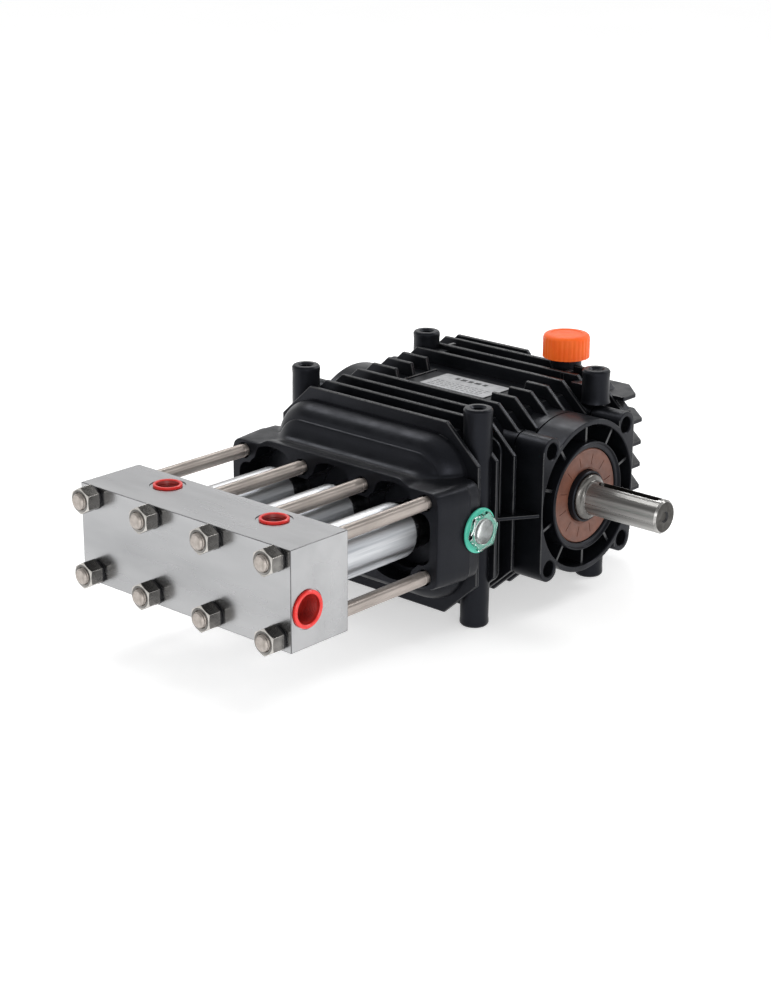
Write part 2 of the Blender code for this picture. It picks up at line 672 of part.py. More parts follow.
def crankshaft():
    profile = [(0, SHAFT_END_X), (SHAFT_RADIUS - 1.5, SHAFT_END_X), (SHAFT_RADIUS, SHAFT_END_X - 1.5),
               (SHAFT_RADIUS, 167.0), (SHAFT_RADIUS + 2, 164.0), (COLLAR_RADIUS - 1, 162.5),
               (COLLAR_RADIUS, 161.5), (COLLAR_RADIUS, 145.0), (JOURNAL_RADIUS - GAP, 145.0),
               (JOURNAL_RADIUS - GAP, 118.0), (WEB_RADIUS, 118.0), (WEB_RADIUS, 98.0), (0, 98.0)]
    shaft = turned("drive_end", profile, (0, CRANK_Y, 0), "x")
    blind = [(0, -98.0), (WEB_RADIUS, -98.0), (WEB_RADIUS, -118.0), (JOURNAL_RADIUS - GAP, -118.0),
             (JOURNAL_RADIUS - GAP, -144.0), (0, -144.0)]
    join(shaft, turned("blind_end", blind, (0, CRANK_Y, 0), "x"))
    for middle in (-CYLINDER_PITCH / 2, CYLINDER_PITCH / 2):
        reach = CYLINDER_PITCH / 2 - 15.0
        join(shaft, cylinder("web", (middle - reach, CRANK_Y, 0), (middle + reach, CRANK_Y, 0),
                             WEB_RADIUS))
    for name, x in CYLINDERS.items():
        dy, dz = throw_offset(name)
        join(shaft, cylinder("pin", (x - 17.0, CRANK_Y + dy, dz), (x + 17.0, CRANK_Y + dy, dz),
                             PIN_RADIUS))
    keyway = block("keyway", (180.0, CRANK_Y - 5.0, 12.5), (246.0, CRANK_Y + 5.0, 20.0))
    key_ends = bmesh.new()
    for x in (180.0, 246.0):
        add_cylinder(key_ends, (x, CRANK_Y, 12.5), (x, CRANK_Y, 20.0), 5.0, segments=16)
    join(keyway, solid("key_ends", key_ends))
    cut(shaft, keyway)
    cut(shaft, cylinder("centre_hole", (SHAFT_END_X - 24.0, CRANK_Y, 0), (SHAFT_END_X + 1, CRANK_Y, 0),
                        4.3, segments=16))
    return finish(shaft, "crankshaft", GROUND_STEEL, (0, CRANK_Y, 0))


def bearing(side, name):
    low, high = sorted((side * BEARING_X[0], side * BEARING_X[1]))
    profile = [(BEARING_RADIUS, high), (BEARING_RADIUS, low), (JOURNAL_RADIUS, low),
               (JOURNAL_RADIUS, high)]
    return finish(turned(name, profile, (0, CRANK_Y, 0), "x", 24, ring=True), name, FORGED_STEEL)


def connecting_rod(name, x):
    dy, dz = throw_offset(name)
    big_y = CRANK_Y + dy
    small_y = big_y - ROD_LENGTH
    rod = cylinder("big_end", (x - 13.5, big_y, dz), (x + 13.5, big_y, dz), 27.0)
    join(rod, cylinder("small_end", (x - 8.5, small_y, dz), (x + 8.5, small_y, dz), 11.3, segments=16))
    shank = [(small_y + 5, dz - 6.0), (big_y - 20, dz - 8.0), (big_y - 20, dz + 8.0), (small_y + 5, dz + 6.0)]
    join(rod, plate("shank", shank, "x", x - 7.0, x + 7.0))
    join(rod, block("cap_split", (x - 10.0, big_y + 4, dz - 30.5), (x + 10.0, big_y + 16, dz + 30.5)))
    bores = bmesh.new()
    add_cylinder(bores, (x - 20, big_y, dz), (x + 20, big_y, dz), PIN_RADIUS + 0.5)
    add_cylinder(bores, (x - 20, small_y, dz), (x + 20, small_y, dz), WRIST_PIN_RADIUS + GAP, segments=12)
    cut(rod, solid("rod_bores", bores))
    return finish(rod, "connecting_rod_" + name, FORGED_STEEL, (x, big_y, dz))


def wrist_pin(name, x):
    dy, dz = throw_offset(name)
    y = CRANK_Y + dy - ROD_LENGTH
    pin = cylinder("wrist_pin", (x - 15.0, y, dz), (x + 15.0, y, dz), WRIST_PIN_RADIUS, segments=12)
    return finish(pin, "wrist_pin_" + name, GROUND_STEEL, (x, CRANK_Y + dy, dz))


def crosshead(name, x):
    wrist_y = CRANK_Y + throw_offset(name)[0] - ROD_LENGTH
    profile = [(CROSSHEAD_BORE, 25.0), (CROSSHEAD_RADIUS, 25.0), (CROSSHEAD_RADIUS, -48.5),
               (CROSSHEAD_RADIUS - 2, -50.5), (12.0, -50.5), (12.0, -58.0), (0, -58.0)]
    inside = [(0, -43.0), (CROSSHEAD_BORE, -43.0)]
    cup = turned("crosshead", inside + profile, (x, wrist_y, 0), "y")
    return finish(cup, "crosshead_" + name, FORGED_STEEL, (x, wrist_y, 0))


def plunger(name, x):
    wrist_y = CRANK_Y + throw_offset(name)[0] - ROD_LENGTH
    back = wrist_y - 58.0 - GAP
    length = PLUNGER_LENGTH
    profile = [(0, 0.0), (PLUNGER_RADIUS - 1, 0.0), (PLUNGER_RADIUS, -1.0),
               (PLUNGER_RADIUS, 1.5 - length), (PLUNGER_RADIUS - 1.5, -length), (0, -length)]
    rod = turned("plunger", profile, (x, back, 0), "y", 16)
    return finish(rod, "plunger_" + name, CERAMIC, (x, wrist_y, 0))


def bearing_and_seals():
    bearing(1, "drive_side_bearing")
    bearing(-1, "blind_side_bearing")
    oil_seal()


# ---------------------------------------------------------------- cylinders and manifold

def sleeve():
    front = MANIFOLD_DEPTH + GAP
    shoulder = arc((SLEEVE_RADIUS - 6.0, SLEEVE_SHOULDER_Y - 6.0), 6.0, 90, 0, 2)
    profile = [(17.0, 243.0), (SLEEVE_NECK_RADIUS, 243.0), (SLEEVE_NECK_RADIUS, SLEEVE_SHOULDER_Y)]
    profile += [point for point in shoulder if point[0] > SLEEVE_NECK_RADIUS]
    profile += [(SLEEVE_RADIUS, front), (SLEEVE_BORE, front), (SLEEVE_BORE, 200.0), (17.0, 204.0)]
    x = CYLINDERS["left"]
    first = finish(turned("sleeve", profile, (x, 0, 0), "y", ring=True), "cylinder_sleeve_left", CHROME)
    moved(first, "cylinder_sleeve_middle", dx=CYLINDER_PITCH)
    moved(first, "cylinder_sleeve_right", dx=2 * CYLINDER_PITCH)


def packing():
    low, high = 78.0, 112.0
    profile = [(SLEEVE_BORE - GAP, high), (SLEEVE_BORE - GAP, low), (PLUNGER_RADIUS + 0.7, low),
               (PLUNGER_RADIUS + 0.7, high)]
    x = CYLINDERS["left"]
    first = finish(turned("packing", profile, (x, 0, 0), "y", 16, ring=True), "plunger_packing_left",
                   PACKING_FABRIC)
    moved(first, "plunger_packing_middle", dx=CYLINDER_PITCH)
    moved(first, "plunger_packing_right", dx=2 * CYLINDER_PITCH)


def manifold():
    half = MANIFOLD_WIDTH / 2
    top_z = MANIFOLD_HALF_HEIGHT
    body = block("manifold", (-half, 0, -top_z), (half, MANIFOLD_DEPTH, top_z))
    ways = bmesh.new()
    for x, z in stud_positions():
        add_cylinder(ways, (x, -5, z), (x, MANIFOLD_DEPTH + 5, z), STUD_THREAD_RADIUS + 0.6, segments=12)
    cut(body, solid("stud_ways", ways))
    chambers = bmesh.new()
    for x in CYLINDERS.values():
        add_cylinder(chambers, (x, CHAMBER_FLOOR_Y, 0), (x, MANIFOLD_DEPTH + 5, 0), CHAMBER_RADIUS)
    cut(body, solid("chambers", chambers))
    cut(body, cylinder("inlet_gallery", (-100.0, INLET_Y, INLET_Z), (half + 5, INLET_Y, INLET_Z), 12.7,
                       segments=16))
    cut(body, cylinder("inlet_port", (half - 18.0, INLET_Y, INLET_Z), (half + 5, INLET_Y, INLET_Z),
                       INLET_PORT_RADIUS, segments=24))
    cut(body, cylinder("inlet_spot", (half - SPOT_DEPTH, INLET_Y, INLET_Z), (half + 6, INLET_Y, INLET_Z),
                       INLET_SPOT_RADIUS, segments=24))
    reach = OUTLET_X + 14
    cut(body, cylinder("outlet_gallery", (-reach, OUTLET_Y, GALLERY_Z), (reach, OUTLET_Y, GALLERY_Z),
                       GALLERY_RADIUS, segments=12))
    valves = bmesh.new()
    for x in CYLINDERS.values():
        add_cylinder(valves, (x, INLET_Y, -8.0), (x, CHAMBER_FLOOR_Y + 1, -8.0), 6.2, segments=12)
    cut(body, solid("suction_ways", valves))
    for x in (-OUTLET_X, OUTLET_X):
        top = (x, OUTLET_Y, top_z + 5)
        cut(body, cylinder("outlet_port", (x, OUTLET_Y, 22.0), top, 12.3))
        cut(body, cylinder("spot_face", (x, OUTLET_Y, top_z - SPOT_DEPTH), top, 18.0, segments=24))
    risers = bmesh.new()
    for x in CYLINDERS.values():
        add_cylinder(risers, (x, OUTLET_Y + 4, 10.0), (x, OUTLET_Y + 4, GALLERY_Z), 4.2, segments=12)
    cut(body, solid("delivery_ways", risers))
    return finish(body, "manifold", STAINLESS)


def valves():
    """Suction poppets open towards the plunger, delivery poppets open upwards."""
    for name, x in CYLINDERS.items():
        suction = [(0, CHAMBER_FLOOR_Y - 1.0), (5.6, CHAMBER_FLOOR_Y - 1.0), (5.6, CHAMBER_FLOOR_Y - 4.0),
                   (2.0, CHAMBER_FLOOR_Y - 6.0), (2.0, 28.0), (0, 28.0)]
        poppet = turned("suction", suction, (x, 0, -8.0), "y", 10)
        finish(poppet, "suction_valve_" + name, GROUND_STEEL, (x, CHAMBER_FLOOR_Y, -8.0))
        delivery = [(0, 20.5), (3.8, 20.5), (3.8, 18.0), (0, 18.0)]
        disc = turned("delivery", delivery, (x, OUTLET_Y + 4, 0), "z", 10)
        finish(disc, "delivery_valve_" + name, GROUND_STEEL, (x, OUTLET_Y + 4, 19.0))


def studs_and_nuts():
    tip = STUD_TIP_Y
    profile = [(0, STUD_ROOT_Y), (STUD_SHANK_RADIUS, STUD_ROOT_Y), (STUD_SHANK_RADIUS, MANIFOLD_DEPTH + 4),
               (STUD_THREAD_RADIUS, MANIFOLD_DEPTH + 3), (STUD_THREAD_RADIUS, tip + 1.5),
               (STUD_THREAD_RADIUS - 1.5, tip), (0, tip)]
    first_x, first_z = stud_positions()[0]
    stud = finish(turned("stud", profile, (first_x, 0, first_z), "y", 12), "tie_stud_1", ROD_STEEL)

    corner_radius = NUT_ACROSS_FLATS / math.sqrt(3)
    hexagon = [(first_x + u, first_z + v) for u, v in arc((0, 0), corner_radius, 20, 320, 5)]
    back = -GAP
    nut = plate("nut", hexagon, "y", NUT_FACE_Y, back - 1)
    join(nut, cylinder("washer", (first_x, back - WASHER_THICKNESS, first_z), (first_x, back, first_z),
                       WASHER_RADIUS, segments=12))
    cut(nut, cylinder("nut_bore", (first_x, -25, first_z), (first_x, 5, first_z), STUD_THREAD_RADIUS + 0.5,
                      segments=12))
    nut = finish(nut, "stud_nut_1", NUT_STEEL)
    for number, (x, z) in enumerate(stud_positions()[1:], start=2):
        moved(stud, "tie_stud_%d" % number, dx=x - first_x, dz=z - first_z)
        moved(nut, "stud_nut_%d" % number, dx=x - first_x, dz=z - first_z)


def port_plugs():
    top = MANIFOLD_HALF_HEIGHT + 2.0
    seat = MANIFOLD_HALF_HEIGHT - SPOT_DEPTH + GAP
    hollow = [(10.4, top), (14.5, top), (14.5, seat), (11.8, seat), (11.8, 24.0), (0, 24.0)]
    inside = [(0, 26.0), (10.4, 26.0)]
    for name, x in (("left", -OUTLET_X), ("right", OUTLET_X)):
        plug = turned("outlet_plug", inside + hollow, (x, OUTLET_Y, 0), "z", 16)
        finish(plug, "outlet_plug_" + name, RED_PLASTIC, (x, OUTLET_Y, MANIFOLD_HALF_HEIGHT))
    face = MANIFOLD_WIDTH / 2
    seat = face - SPOT_DEPTH + GAP
    profile = [(0, face - 15.5), (13.4, face - 15.5), (13.4, face + 2.5), (18.4, face + 2.5),
               (18.4, seat), (14.9, seat), (14.9, face - 17.0), (0, face - 17.0)]
    plug = turned("inlet_plug", profile, (0, INLET_Y, INLET_Z), "x", 20)
    finish(plug, "inlet_plug", RED_PLASTIC, (face, INLET_Y, INLET_Z))


# ---------------------------------------------------------------- fittings

def oil_cap():
    base = CAP_BASE_Z
    top = base + CAP_HEIGHT
    profile = [(0, top), (CAP_RADIUS - 4.5, top), (CAP_RADIUS, top - 4.0), (CAP_RADIUS, base), (17.0, base),
               (17.0, base - 6.5), (11.9, base - 6.5), (11.9, 80.0), (2.5, 80.0), (2.5, -30.0), (0, -30.0)]
    cap = turned("cap", profile, (CAP_X, CAP_Y, 0), "z", 20)
    return finish(cap, "oil_filler_cap", ORANGE_PLASTIC, (CAP_X, CAP_Y, base))


def sight_glass():
    face = SIGHT_FACE_X + GAP
    ring = [(22.3, face + 2.0), (22.3, face), (13.0, face), (13.0, face + 2.0)]
    finish(turned("sight_gasket", ring, (0, SIGHT_Y, SIGHT_Z), "x", 16, ring=True), "sight_glass_gasket",
           GREEN_RUBBER)
    seat = face + 2.0 + GAP
    hexagon = [(SIGHT_Y + u, SIGHT_Z + v) for u, v in arc((0, 0), 20.5, 10, 310, 5)]
    glass = plate("sight_hexagon", hexagon, "x", seat, seat + 6.0)
    lens = [(0, seat + 9.0), (7.0, seat + 8.3), (13.0, seat + 6.0), (13.0, seat + 3.0), (12.4, seat + 2.0),
            (12.4, 136.0), (0, 136.0)]
    join(glass, turned("lens", lens, (0, SIGHT_Y, SIGHT_Z), "x", 16))
    return finish(glass, "sight_glass", CLEAR_PLASTIC)


def label_plate():
    low = LABEL_PAD_TOP + GAP
    plaque = block("label", (LABEL_X[0], LABEL_Y[0], low), (LABEL_X[1], LABEL_Y[1] - 0.8, low + 0.8))
    return finish(plaque, "label_plate", LABEL_SILVER)


def drain_plug():
    low = -BODY_TOP
    profile = [(0, -70.0), (7.0, -70.0), (7.0, low - GAP), (10.8, low - GAP), (10.8, low - 8.0),
               (0, low - 8.0)]
    return finish(turned("drain", profile, (0, DRAIN_Y, 0), "z", 8), "drain_plug", NUT_STEEL)


def pump():
    crankcase()
    rear_cover()
    rear_gasket()
    side_cover(1, "drive_side_cover")
    side_cover(-1, "blind_side_cover")
    cover_gasket(1, "drive_cover_gasket")
    cover_gasket(-1, "blind_cover_gasket")
    bearing_and_seals()
    crankshaft()
    for name, x in CYLINDERS.items():
        connecting_rod(name, x)
        wrist_pin(name, x)
        crosshead(name, x)
        plunger(name, x)
    sleeve()
    packing()
    manifold()
    valves()
    studs_and_nuts()
    port_plugs()
    oil_cap()
    sight_glass()
    label_plate()
    drain_plug()
    for tool in list(TOOLS.objects):
        bpy.data.objects.remove(tool, do_unlink=True)


pump()
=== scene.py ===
"""Looks of the three-cylinder plunger pump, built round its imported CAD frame.

Sizes are millimetres in pump coordinates: x runs along the crankshaft towards its drive end, y from
the manifold's front face to the rear cover, and z is height above the crankshaft.  place() turns
them into the frame's metres.
"""

import json
import math

import bmesh
import bpy
from mathutils import Matrix, Vector

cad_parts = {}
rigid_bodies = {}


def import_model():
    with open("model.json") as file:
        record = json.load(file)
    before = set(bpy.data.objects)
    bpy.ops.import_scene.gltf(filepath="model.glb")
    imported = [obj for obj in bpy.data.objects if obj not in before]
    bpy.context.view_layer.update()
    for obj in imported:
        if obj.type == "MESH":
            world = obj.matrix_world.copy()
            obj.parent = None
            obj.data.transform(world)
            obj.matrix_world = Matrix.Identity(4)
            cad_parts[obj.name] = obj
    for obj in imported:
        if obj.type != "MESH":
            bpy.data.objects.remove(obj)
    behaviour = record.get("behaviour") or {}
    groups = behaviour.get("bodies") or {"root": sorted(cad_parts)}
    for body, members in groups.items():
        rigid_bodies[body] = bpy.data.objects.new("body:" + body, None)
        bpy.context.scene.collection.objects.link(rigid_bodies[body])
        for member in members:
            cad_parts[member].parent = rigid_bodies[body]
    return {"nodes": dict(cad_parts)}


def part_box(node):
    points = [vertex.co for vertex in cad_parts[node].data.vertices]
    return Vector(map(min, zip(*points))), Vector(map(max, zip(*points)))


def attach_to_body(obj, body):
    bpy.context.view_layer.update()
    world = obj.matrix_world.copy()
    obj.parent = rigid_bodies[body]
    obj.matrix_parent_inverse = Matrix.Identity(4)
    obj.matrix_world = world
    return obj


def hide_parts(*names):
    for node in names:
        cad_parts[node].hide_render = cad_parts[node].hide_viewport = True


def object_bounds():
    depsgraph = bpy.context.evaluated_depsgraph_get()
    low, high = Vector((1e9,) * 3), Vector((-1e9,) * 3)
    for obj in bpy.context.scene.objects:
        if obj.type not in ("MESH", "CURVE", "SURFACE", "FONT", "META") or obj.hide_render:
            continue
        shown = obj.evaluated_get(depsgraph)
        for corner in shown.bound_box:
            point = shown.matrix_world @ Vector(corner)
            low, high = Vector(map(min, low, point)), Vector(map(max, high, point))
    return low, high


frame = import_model()
cad_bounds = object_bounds()

MM = 0.001
WELD = 0.00001                   # corners nearer than this, in metres, are one
SHARP_ANGLE = math.radians(32.0)


# ---------------------------------------------------------------- positions from the frame

def middle_of(low, high):
    return (low + high) / 2


block_low, block_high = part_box("manifold")
ORIGIN = Vector((middle_of(block_low.x, block_high.x), block_low.y, middle_of(block_low.z, block_high.z)))


def place(x, y, z):
    """The point in the frame's metres of a point in pump coordinates."""
    return ORIGIN + Vector((x, y, z)) * MM


def span(node):
    """A CAD node's lowest and highest corners, in pump coordinates."""
    low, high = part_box(node)
    return (low - ORIGIN) / MM, (high - ORIGIN) / MM


def centre(node):
    return middle_of(*span(node))


def ends(node, axis):
    """A CAD node's lowest and highest place along an axis."""
    return [corner["xyz".index(axis)] for corner in span(node)]


CYLINDERS = {name: centre("cylinder_sleeve_" + name).x for name in ("left", "middle", "right")}
PITCH = CYLINDERS["right"] - CYLINDERS["middle"]
HALF_WIDTH, DEPTH, HALF_HEIGHT = span("manifold")[1]
STUDS = [(centre("tie_stud_%d" % n).x, 0, centre("tie_stud_%d" % n).z) for n in range(1, 9)]
STUD_TIP_Y, STUD_ROOT_Y = ends("tie_stud_1", "y")
NUT_FACE_Y = ends("stud_nut_1", "y")[0]
sleeve_low, sleeve_high = span("cylinder_sleeve_left")
SLEEVE_RADIUS = (sleeve_high.z - sleeve_low.z) / 2
SLEEVE_FRONT_Y, SLEEVE_END_Y = sleeve_low.y, sleeve_high.y
FOOT_Z = ends("crankcase", "z")[1]
REAR_FACE_Y = ends("crankcase", "y")[1]
REAR_START_Y, REAR_END_Y = ends("rear_cover", "y")
BLIND_FACE_X = -ends("blind_side_cover", "x")[0]
CRANK_Y = centre("oil_seal").y
CRANK = (0, CRANK_Y, 0)
SHAFT_END_X = ends("crankshaft", "x")[1]
COVER_FACE_X = ends("drive_side_cover", "x")[1]
SEAL_FACE_X = ends("oil_seal", "x")[1]
OUTLETS = {name: centre("outlet_plug_" + name) for name in ("left", "right")}
INLET = centre("inlet_plug")
SIGHT = centre("sight_glass_gasket")
SIGHT_SEAT_X = ends("sight_glass_gasket", "x")[0]
CAP = centre("oil_filler_cap")
CAP_TOP_Z = ends("oil_filler_cap", "z")[1]
LABEL_LOW, LABEL_HIGH = span("label_plate")
DRAIN = centre("drain_plug")
DRAIN_LOW_Z = ends("drain_plug", "z")[0]

# the crankcase and rear cover
BODY_TOP = 86.0
BODY_SIDE = 122.0
BODY_CORNER = (91.0, 57.6)
FIN_TOP = 101.0
FIN_SIDE = 138.6
FIN_SLOPE = 0.916                # fall of the fins' sloping corners for each unit outwards
FIN_THICKNESS = 4.6
FIN_PITCH = 28.0
FIRST_FIN_Y = 269.0
COVER_ZONE = (339.0, 499.5)      # between these the fins stop at the body's sides
LABEL_ZONE = (376.0, 441.0)      # between these they stop beside the label
REAR_FIN_Y = 521.0
REAR_BODY_Y = 545.0
REAR_WEBS = (-95.0, 69.0)
POST_X = 117.4
POST_Y = (290.8, 485.2)
REAR_POST_FOOT = 79.0
CAP_RADIUS = 25.4
GLINT_WIDTH = (0.12, 0.9)        # bright edge strips are this wide,
GLINT_OUTLINE = 12.0             # and longer than this all round

# the side covers and oil seal
COVER_RADIUS = 81.0
COVER_HALF_DEPTH = 77.2
COVER_BOSS = 62.7
COVER_BOSS_RADIUS = 14.0
HUB_RADIUS = 57.5
POCKET_RADIUS = 75.5
WELL_RADIUS = 8.7
SCREW_SEAT_X = 136.2
SEAL_RADIUS = 50.0
LIP = 5.0                        # the seal's lip stands out this far

# the crankshaft
SHAFT_RADIUS = 17.5
COLLAR_RADIUS = 24.4
JOURNAL_RADIUS = 24.7
WEB_RADIUS = 36.0
ROD_LENGTH = 105.0

# the manifold's ports and studs
PORT_RADIUS = 12.3
INLET_RADIUS = 15.5
STUD_RADIUS = 7.0
THREAD_RADIUS = 8.0
NUT_WIDTH = 24.0

# ---------------------------------------------------------------- mesh helpers

drafts = bpy.data.collections.new("drafts")
pieces = bpy.data.collections.new("pump_looks")
for collection in (drafts, pieces):
    bpy.context.scene.collection.children.link(collection)


def draft(name, data):
    obj = bpy.data.objects.new("draft_" + name, data)
    drafts.objects.link(obj)
    return obj


def solid(name, bm):
    bmesh.ops.recalc_face_normals(bm, faces=bm.faces)
    mesh = bpy.data.meshes.new(name)
    bm.to_mesh(mesh)
    bm.free()
    return draft(name, mesh)


def add_cylinder(bm, at, axis, start, end, radius, segments=48, end_radius=None):
    """A cylinder, or a cone, from start to end along an axis, on the line through `at`."""
    first, last = Vector(at), Vector(at)
    index = "xyz".index(axis)
    first[index], last[index] = start, end
    first, last = place(*first), place(*last)
    way = last - first
    turn = way.to_track_quat("Z", "Y").to_matrix().to_4x4()
    far_radius = radius if end_radius is None else end_radius
    bmesh.ops.create_cone(bm, cap_ends=True, segments=segments, radius1=radius * MM,
                          radius2=far_radius * MM, depth=way.length,
                          matrix=Matrix.Translation((first + last) / 2) @ turn)


def cylinders(name, places, *shape):
    """The same cylinder at several places that don't touch each other, as one mesh."""
    bm = bmesh.new()
    for at in places:
        add_cylinder(bm, at, *shape)
    return solid(name, bm)


def cylinder(name, at, *shape):
    return cylinders(name, [at], *shape)


def block(name, low, high, edge=0.0):
    bm = bmesh.new()
    low, high = place(*low), place(*high)
    size = Matrix.Diagonal((*(high - low), 1.0))
    bmesh.ops.create_cube(bm, size=1.0, matrix=Matrix.Translation((low + high) / 2) @ size)
    if edge:
        bmesh.ops.bevel(bm, geom=list(bm.edges), offset=edge * MM, segments=2, profile=0.5,
                        affect="EDGES")
    return solid(name, bm)


def evaluated(obj):
    """A new mesh of the object with its modifiers applied."""
    depsgraph = bpy.context.evaluated_depsgraph_get()
    depsgraph.update()
    return bpy.data.meshes.new_from_object(obj.evaluated_get(depsgraph), depsgraph=depsgraph)


def bores(name, start_y, end_y, radius, segments=48, z=0.0):
    """The same hole along y on each of the three cylinders' lines."""
    return cylinders(name, [(x, 0, z) for x in CYLINDERS.values()], "y", start_y, end_y, radius, segments)


def add_box(bm, size, matrix):
    """A box of this size in millimetres, its middle and turn given by the matrix in metres."""
    scale = Matrix.Diagonal((*(length * MM for length in size), 1.0))
    bmesh.ops.create_cube(bm, size=1.0, matrix=matrix @ scale)


def around(at, axis, degrees, *steps):
    """The place reached from `at` by a turn about an axis and then each of the steps."""
    result = Matrix.Translation(place(*at)) @ Matrix.Rotation(math.radians(degrees), 4, axis)
    for step in steps:
        result = result @ Matrix.Translation(Vector(step) * MM)
    return result


def mesh_of(obj):
    """The evaluated mesh, its doubled corners merged and its faces turned outwards."""
    mesh = evaluated(obj)
    bm = bmesh.new()
    bm.from_mesh(mesh)
    bmesh.ops.remove_doubles(bm, verts=bm.verts, dist=WELD)
    bmesh.ops.recalc_face_normals(bm, faces=bm.faces)
    bm.to_mesh(mesh)
    bm.free()
    return mesh


# A flat outline lies in a plane across one axis: its two coordinates are the other two axes,
# in x, y, z order, except across y, where they are x and z.
PLANE_AXES = {
    "x": Matrix(((0, 0, 1), (1, 0, 0), (0, 1, 0))),
    "y": Matrix(((1, 0, 0), (0, 0, -1), (0, 1, 0))),
    "z": Matrix(((1, 0, 0), (0, 1, 0), (0, 0, 1))),
}


def plate(name, outline, across, low, high, edge=0.0):
    """A flat outline given thickness along the axis `across`, its edges rounded by `edge`."""
    curve = bpy.data.curves.new(name, "CURVE")
    curve.dimensions = "2D"
    curve.fill_mode = "BOTH"
    curve.extrude = ((high - low) / 2 - edge) * MM
    curve.bevel_depth = edge * MM
    curve.bevel_resolution = 1
    curve.offset = -edge * MM
    spline = curve.splines.new("POLY")
    spline.points.add(len(outline) - 1)
    for point, (u, v) in zip(spline.points, outline):
        point.co = (u * MM, v * MM, 0.0, 1.0)
    spline.use_cyclic_u = True
    drawn = draft(name, curve)
    middle = middle_of(low, high)
    at = {"x": (middle, 0, 0), "y": (0, middle, 0), "z": (0, 0, middle)}[across]
    drawn.matrix_world = Matrix.Translation(place(*at)) @ PLANE_AXES[across].to_4x4()
    mesh = mesh_of(drawn)
    mesh.transform(drawn.matrix_world)
    bpy.data.objects.remove(drawn, do_unlink=True)
    return draft(name, mesh)


AXIS_TURNS = {
    "x": Matrix.Rotation(math.pi / 2, 4, "Y"),
    "-x": Matrix.Rotation(-math.pi / 2, 4, "Y"),
    "y": Matrix.Rotation(-math.pi / 2, 4, "X"),
    "z": Matrix.Identity(4),
}


def turned(name, profile, at, along, segments=64, ring=False):
    """A profile of (radius, place along the axis) turned round the axis through `at`."""
    mesh = bpy.data.meshes.new(name)
    points = [(radius * MM, 0.0, height * MM) for radius, height in profile]
    edges = [(i, i + 1) for i in range(len(points) - 1)]
    if ring:
        edges.append((len(points) - 1, 0))
    mesh.from_pydata(points, edges, [])
    obj = draft(name, mesh)
    screw = obj.modifiers.new("turn", "SCREW")
    screw.axis = "Z"
    screw.steps = segments
    screw.render_steps = segments
    screw.use_merge_vertices = True
    screw.merge_threshold = WELD
    made = mesh_of(obj)
    made.transform(Matrix.Translation(place(*at)) @ AXIS_TURNS[along])
    bpy.data.objects.remove(obj, do_unlink=True)
    return draft(name, made)


def loft(name, sections):
    """A skin through rings of points, one ring to a section, closed at both ends."""
    bm = bmesh.new()
    rings = [[bm.verts.new(place(*point)) for point in section] for section in sections]
    count = len(rings[0])
    for ring, following in zip(rings, rings[1:]):
        for i in range(count):
            j = (i + 1) % count
            bm.faces.new((ring[i], ring[j], following[j], following[i]))
    bm.faces.new(rings[0])
    bm.faces.new(rings[-1])
    return solid(name, bm)


def combine(target, operation, tools):
    for tool in tools:
        modifier = target.modifiers.new(operation.lower(), "BOOLEAN")
        modifier.operation = operation
        modifier.solver = "EXACT"
        modifier.object = tool


def join(target, *tools):
    combine(target, "UNION", tools)


def cut(target, *tools):
    combine(target, "DIFFERENCE", tools)


def arc(at, radius, start, end, steps):
    """Points on an arc, angles in degrees."""
    points = []
    for i in range(steps + 1):
        angle = math.radians(start + (end - start) * i / steps)
        points.append((at[0] + radius * math.cos(angle), at[1] + radius * math.sin(angle)))
    return points


def rounded(points, radius, steps=3):
    """The outline with its corners rounded."""
    result = []
    count = len(points)
    for i, corner in enumerate(points):
        here = Vector(corner)
        before = Vector(points[i - 1]) - here
        after = Vector(points[(i + 1) % count]) - here
        half = before.angle(after) / 2
        reach = min(radius / math.tan(half), before.length * 0.45, after.length * 0.45)
        bow = reach * math.tan(half)
        if bow < 0.05 or half > 1.55:
            result.append(corner)
            continue
        start = here + before.normalized() * reach
        end = here + after.normalized() * reach
        hub = here + (before.normalized() + after.normalized()).normalized() * (bow / math.sin(half))
        first, last = start - hub, end - hub
        turn = first.angle_signed(last)
        for step in range(steps + 1):
            offset = first.copy()
            offset.rotate(Matrix.Rotation(-turn * step / steps, 2))
            result.append(tuple(hub + offset))
    return result


def octagon(top, side, corner):
    """A box outline with sloping corners: corner holds the top's and the side's half length."""
    x, z = corner
    return [(side, -z), (side, z), (x, top), (-x, top), (-side, z), (-side, -z), (-x, -top), (x, -top)]


def show(obj, name, look, replaces=(), body="pump_body"):
    """Make the draft a piece that rides on a body.

    Its normals follow its largest faces, so flat faces stay flat and only the edges catch light.
    """
    mesh = mesh_of(obj)
    mesh.transform(obj.matrix_world)
    mesh.materials.clear()
    mesh.materials.append(look)
    mesh.polygons.foreach_set("material_index", [0] * len(mesh.polygons))
    mesh.shade_smooth()
    mesh.set_sharp_from_angle(angle=SHARP_ANGLE)
    smooth = draft(name, mesh)
    weigh = smooth.modifiers.new("weigh", "WEIGHTED_NORMAL")
    weigh.keep_sharp = True
    mesh = evaluated(smooth)
    mesh.name = name
    piece = bpy.data.objects.new(name, mesh)
    pieces.objects.link(piece)
    return attach(piece, body, replaces)


def attach(piece, body, replaces):
    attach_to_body(piece, body)
    if replaces:
        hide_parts(*replaces)
    return piece


def repaint(piece, look, chosen):
    """Give another look to the faces for which chosen(normal, middle) is true."""
    mesh = piece.data
    mesh.materials.append(look)
    index = len(mesh.materials) - 1
    for face in mesh.polygons:
        if chosen(face.normal, (face.center - ORIGIN) / MM):
            face.material_index = index


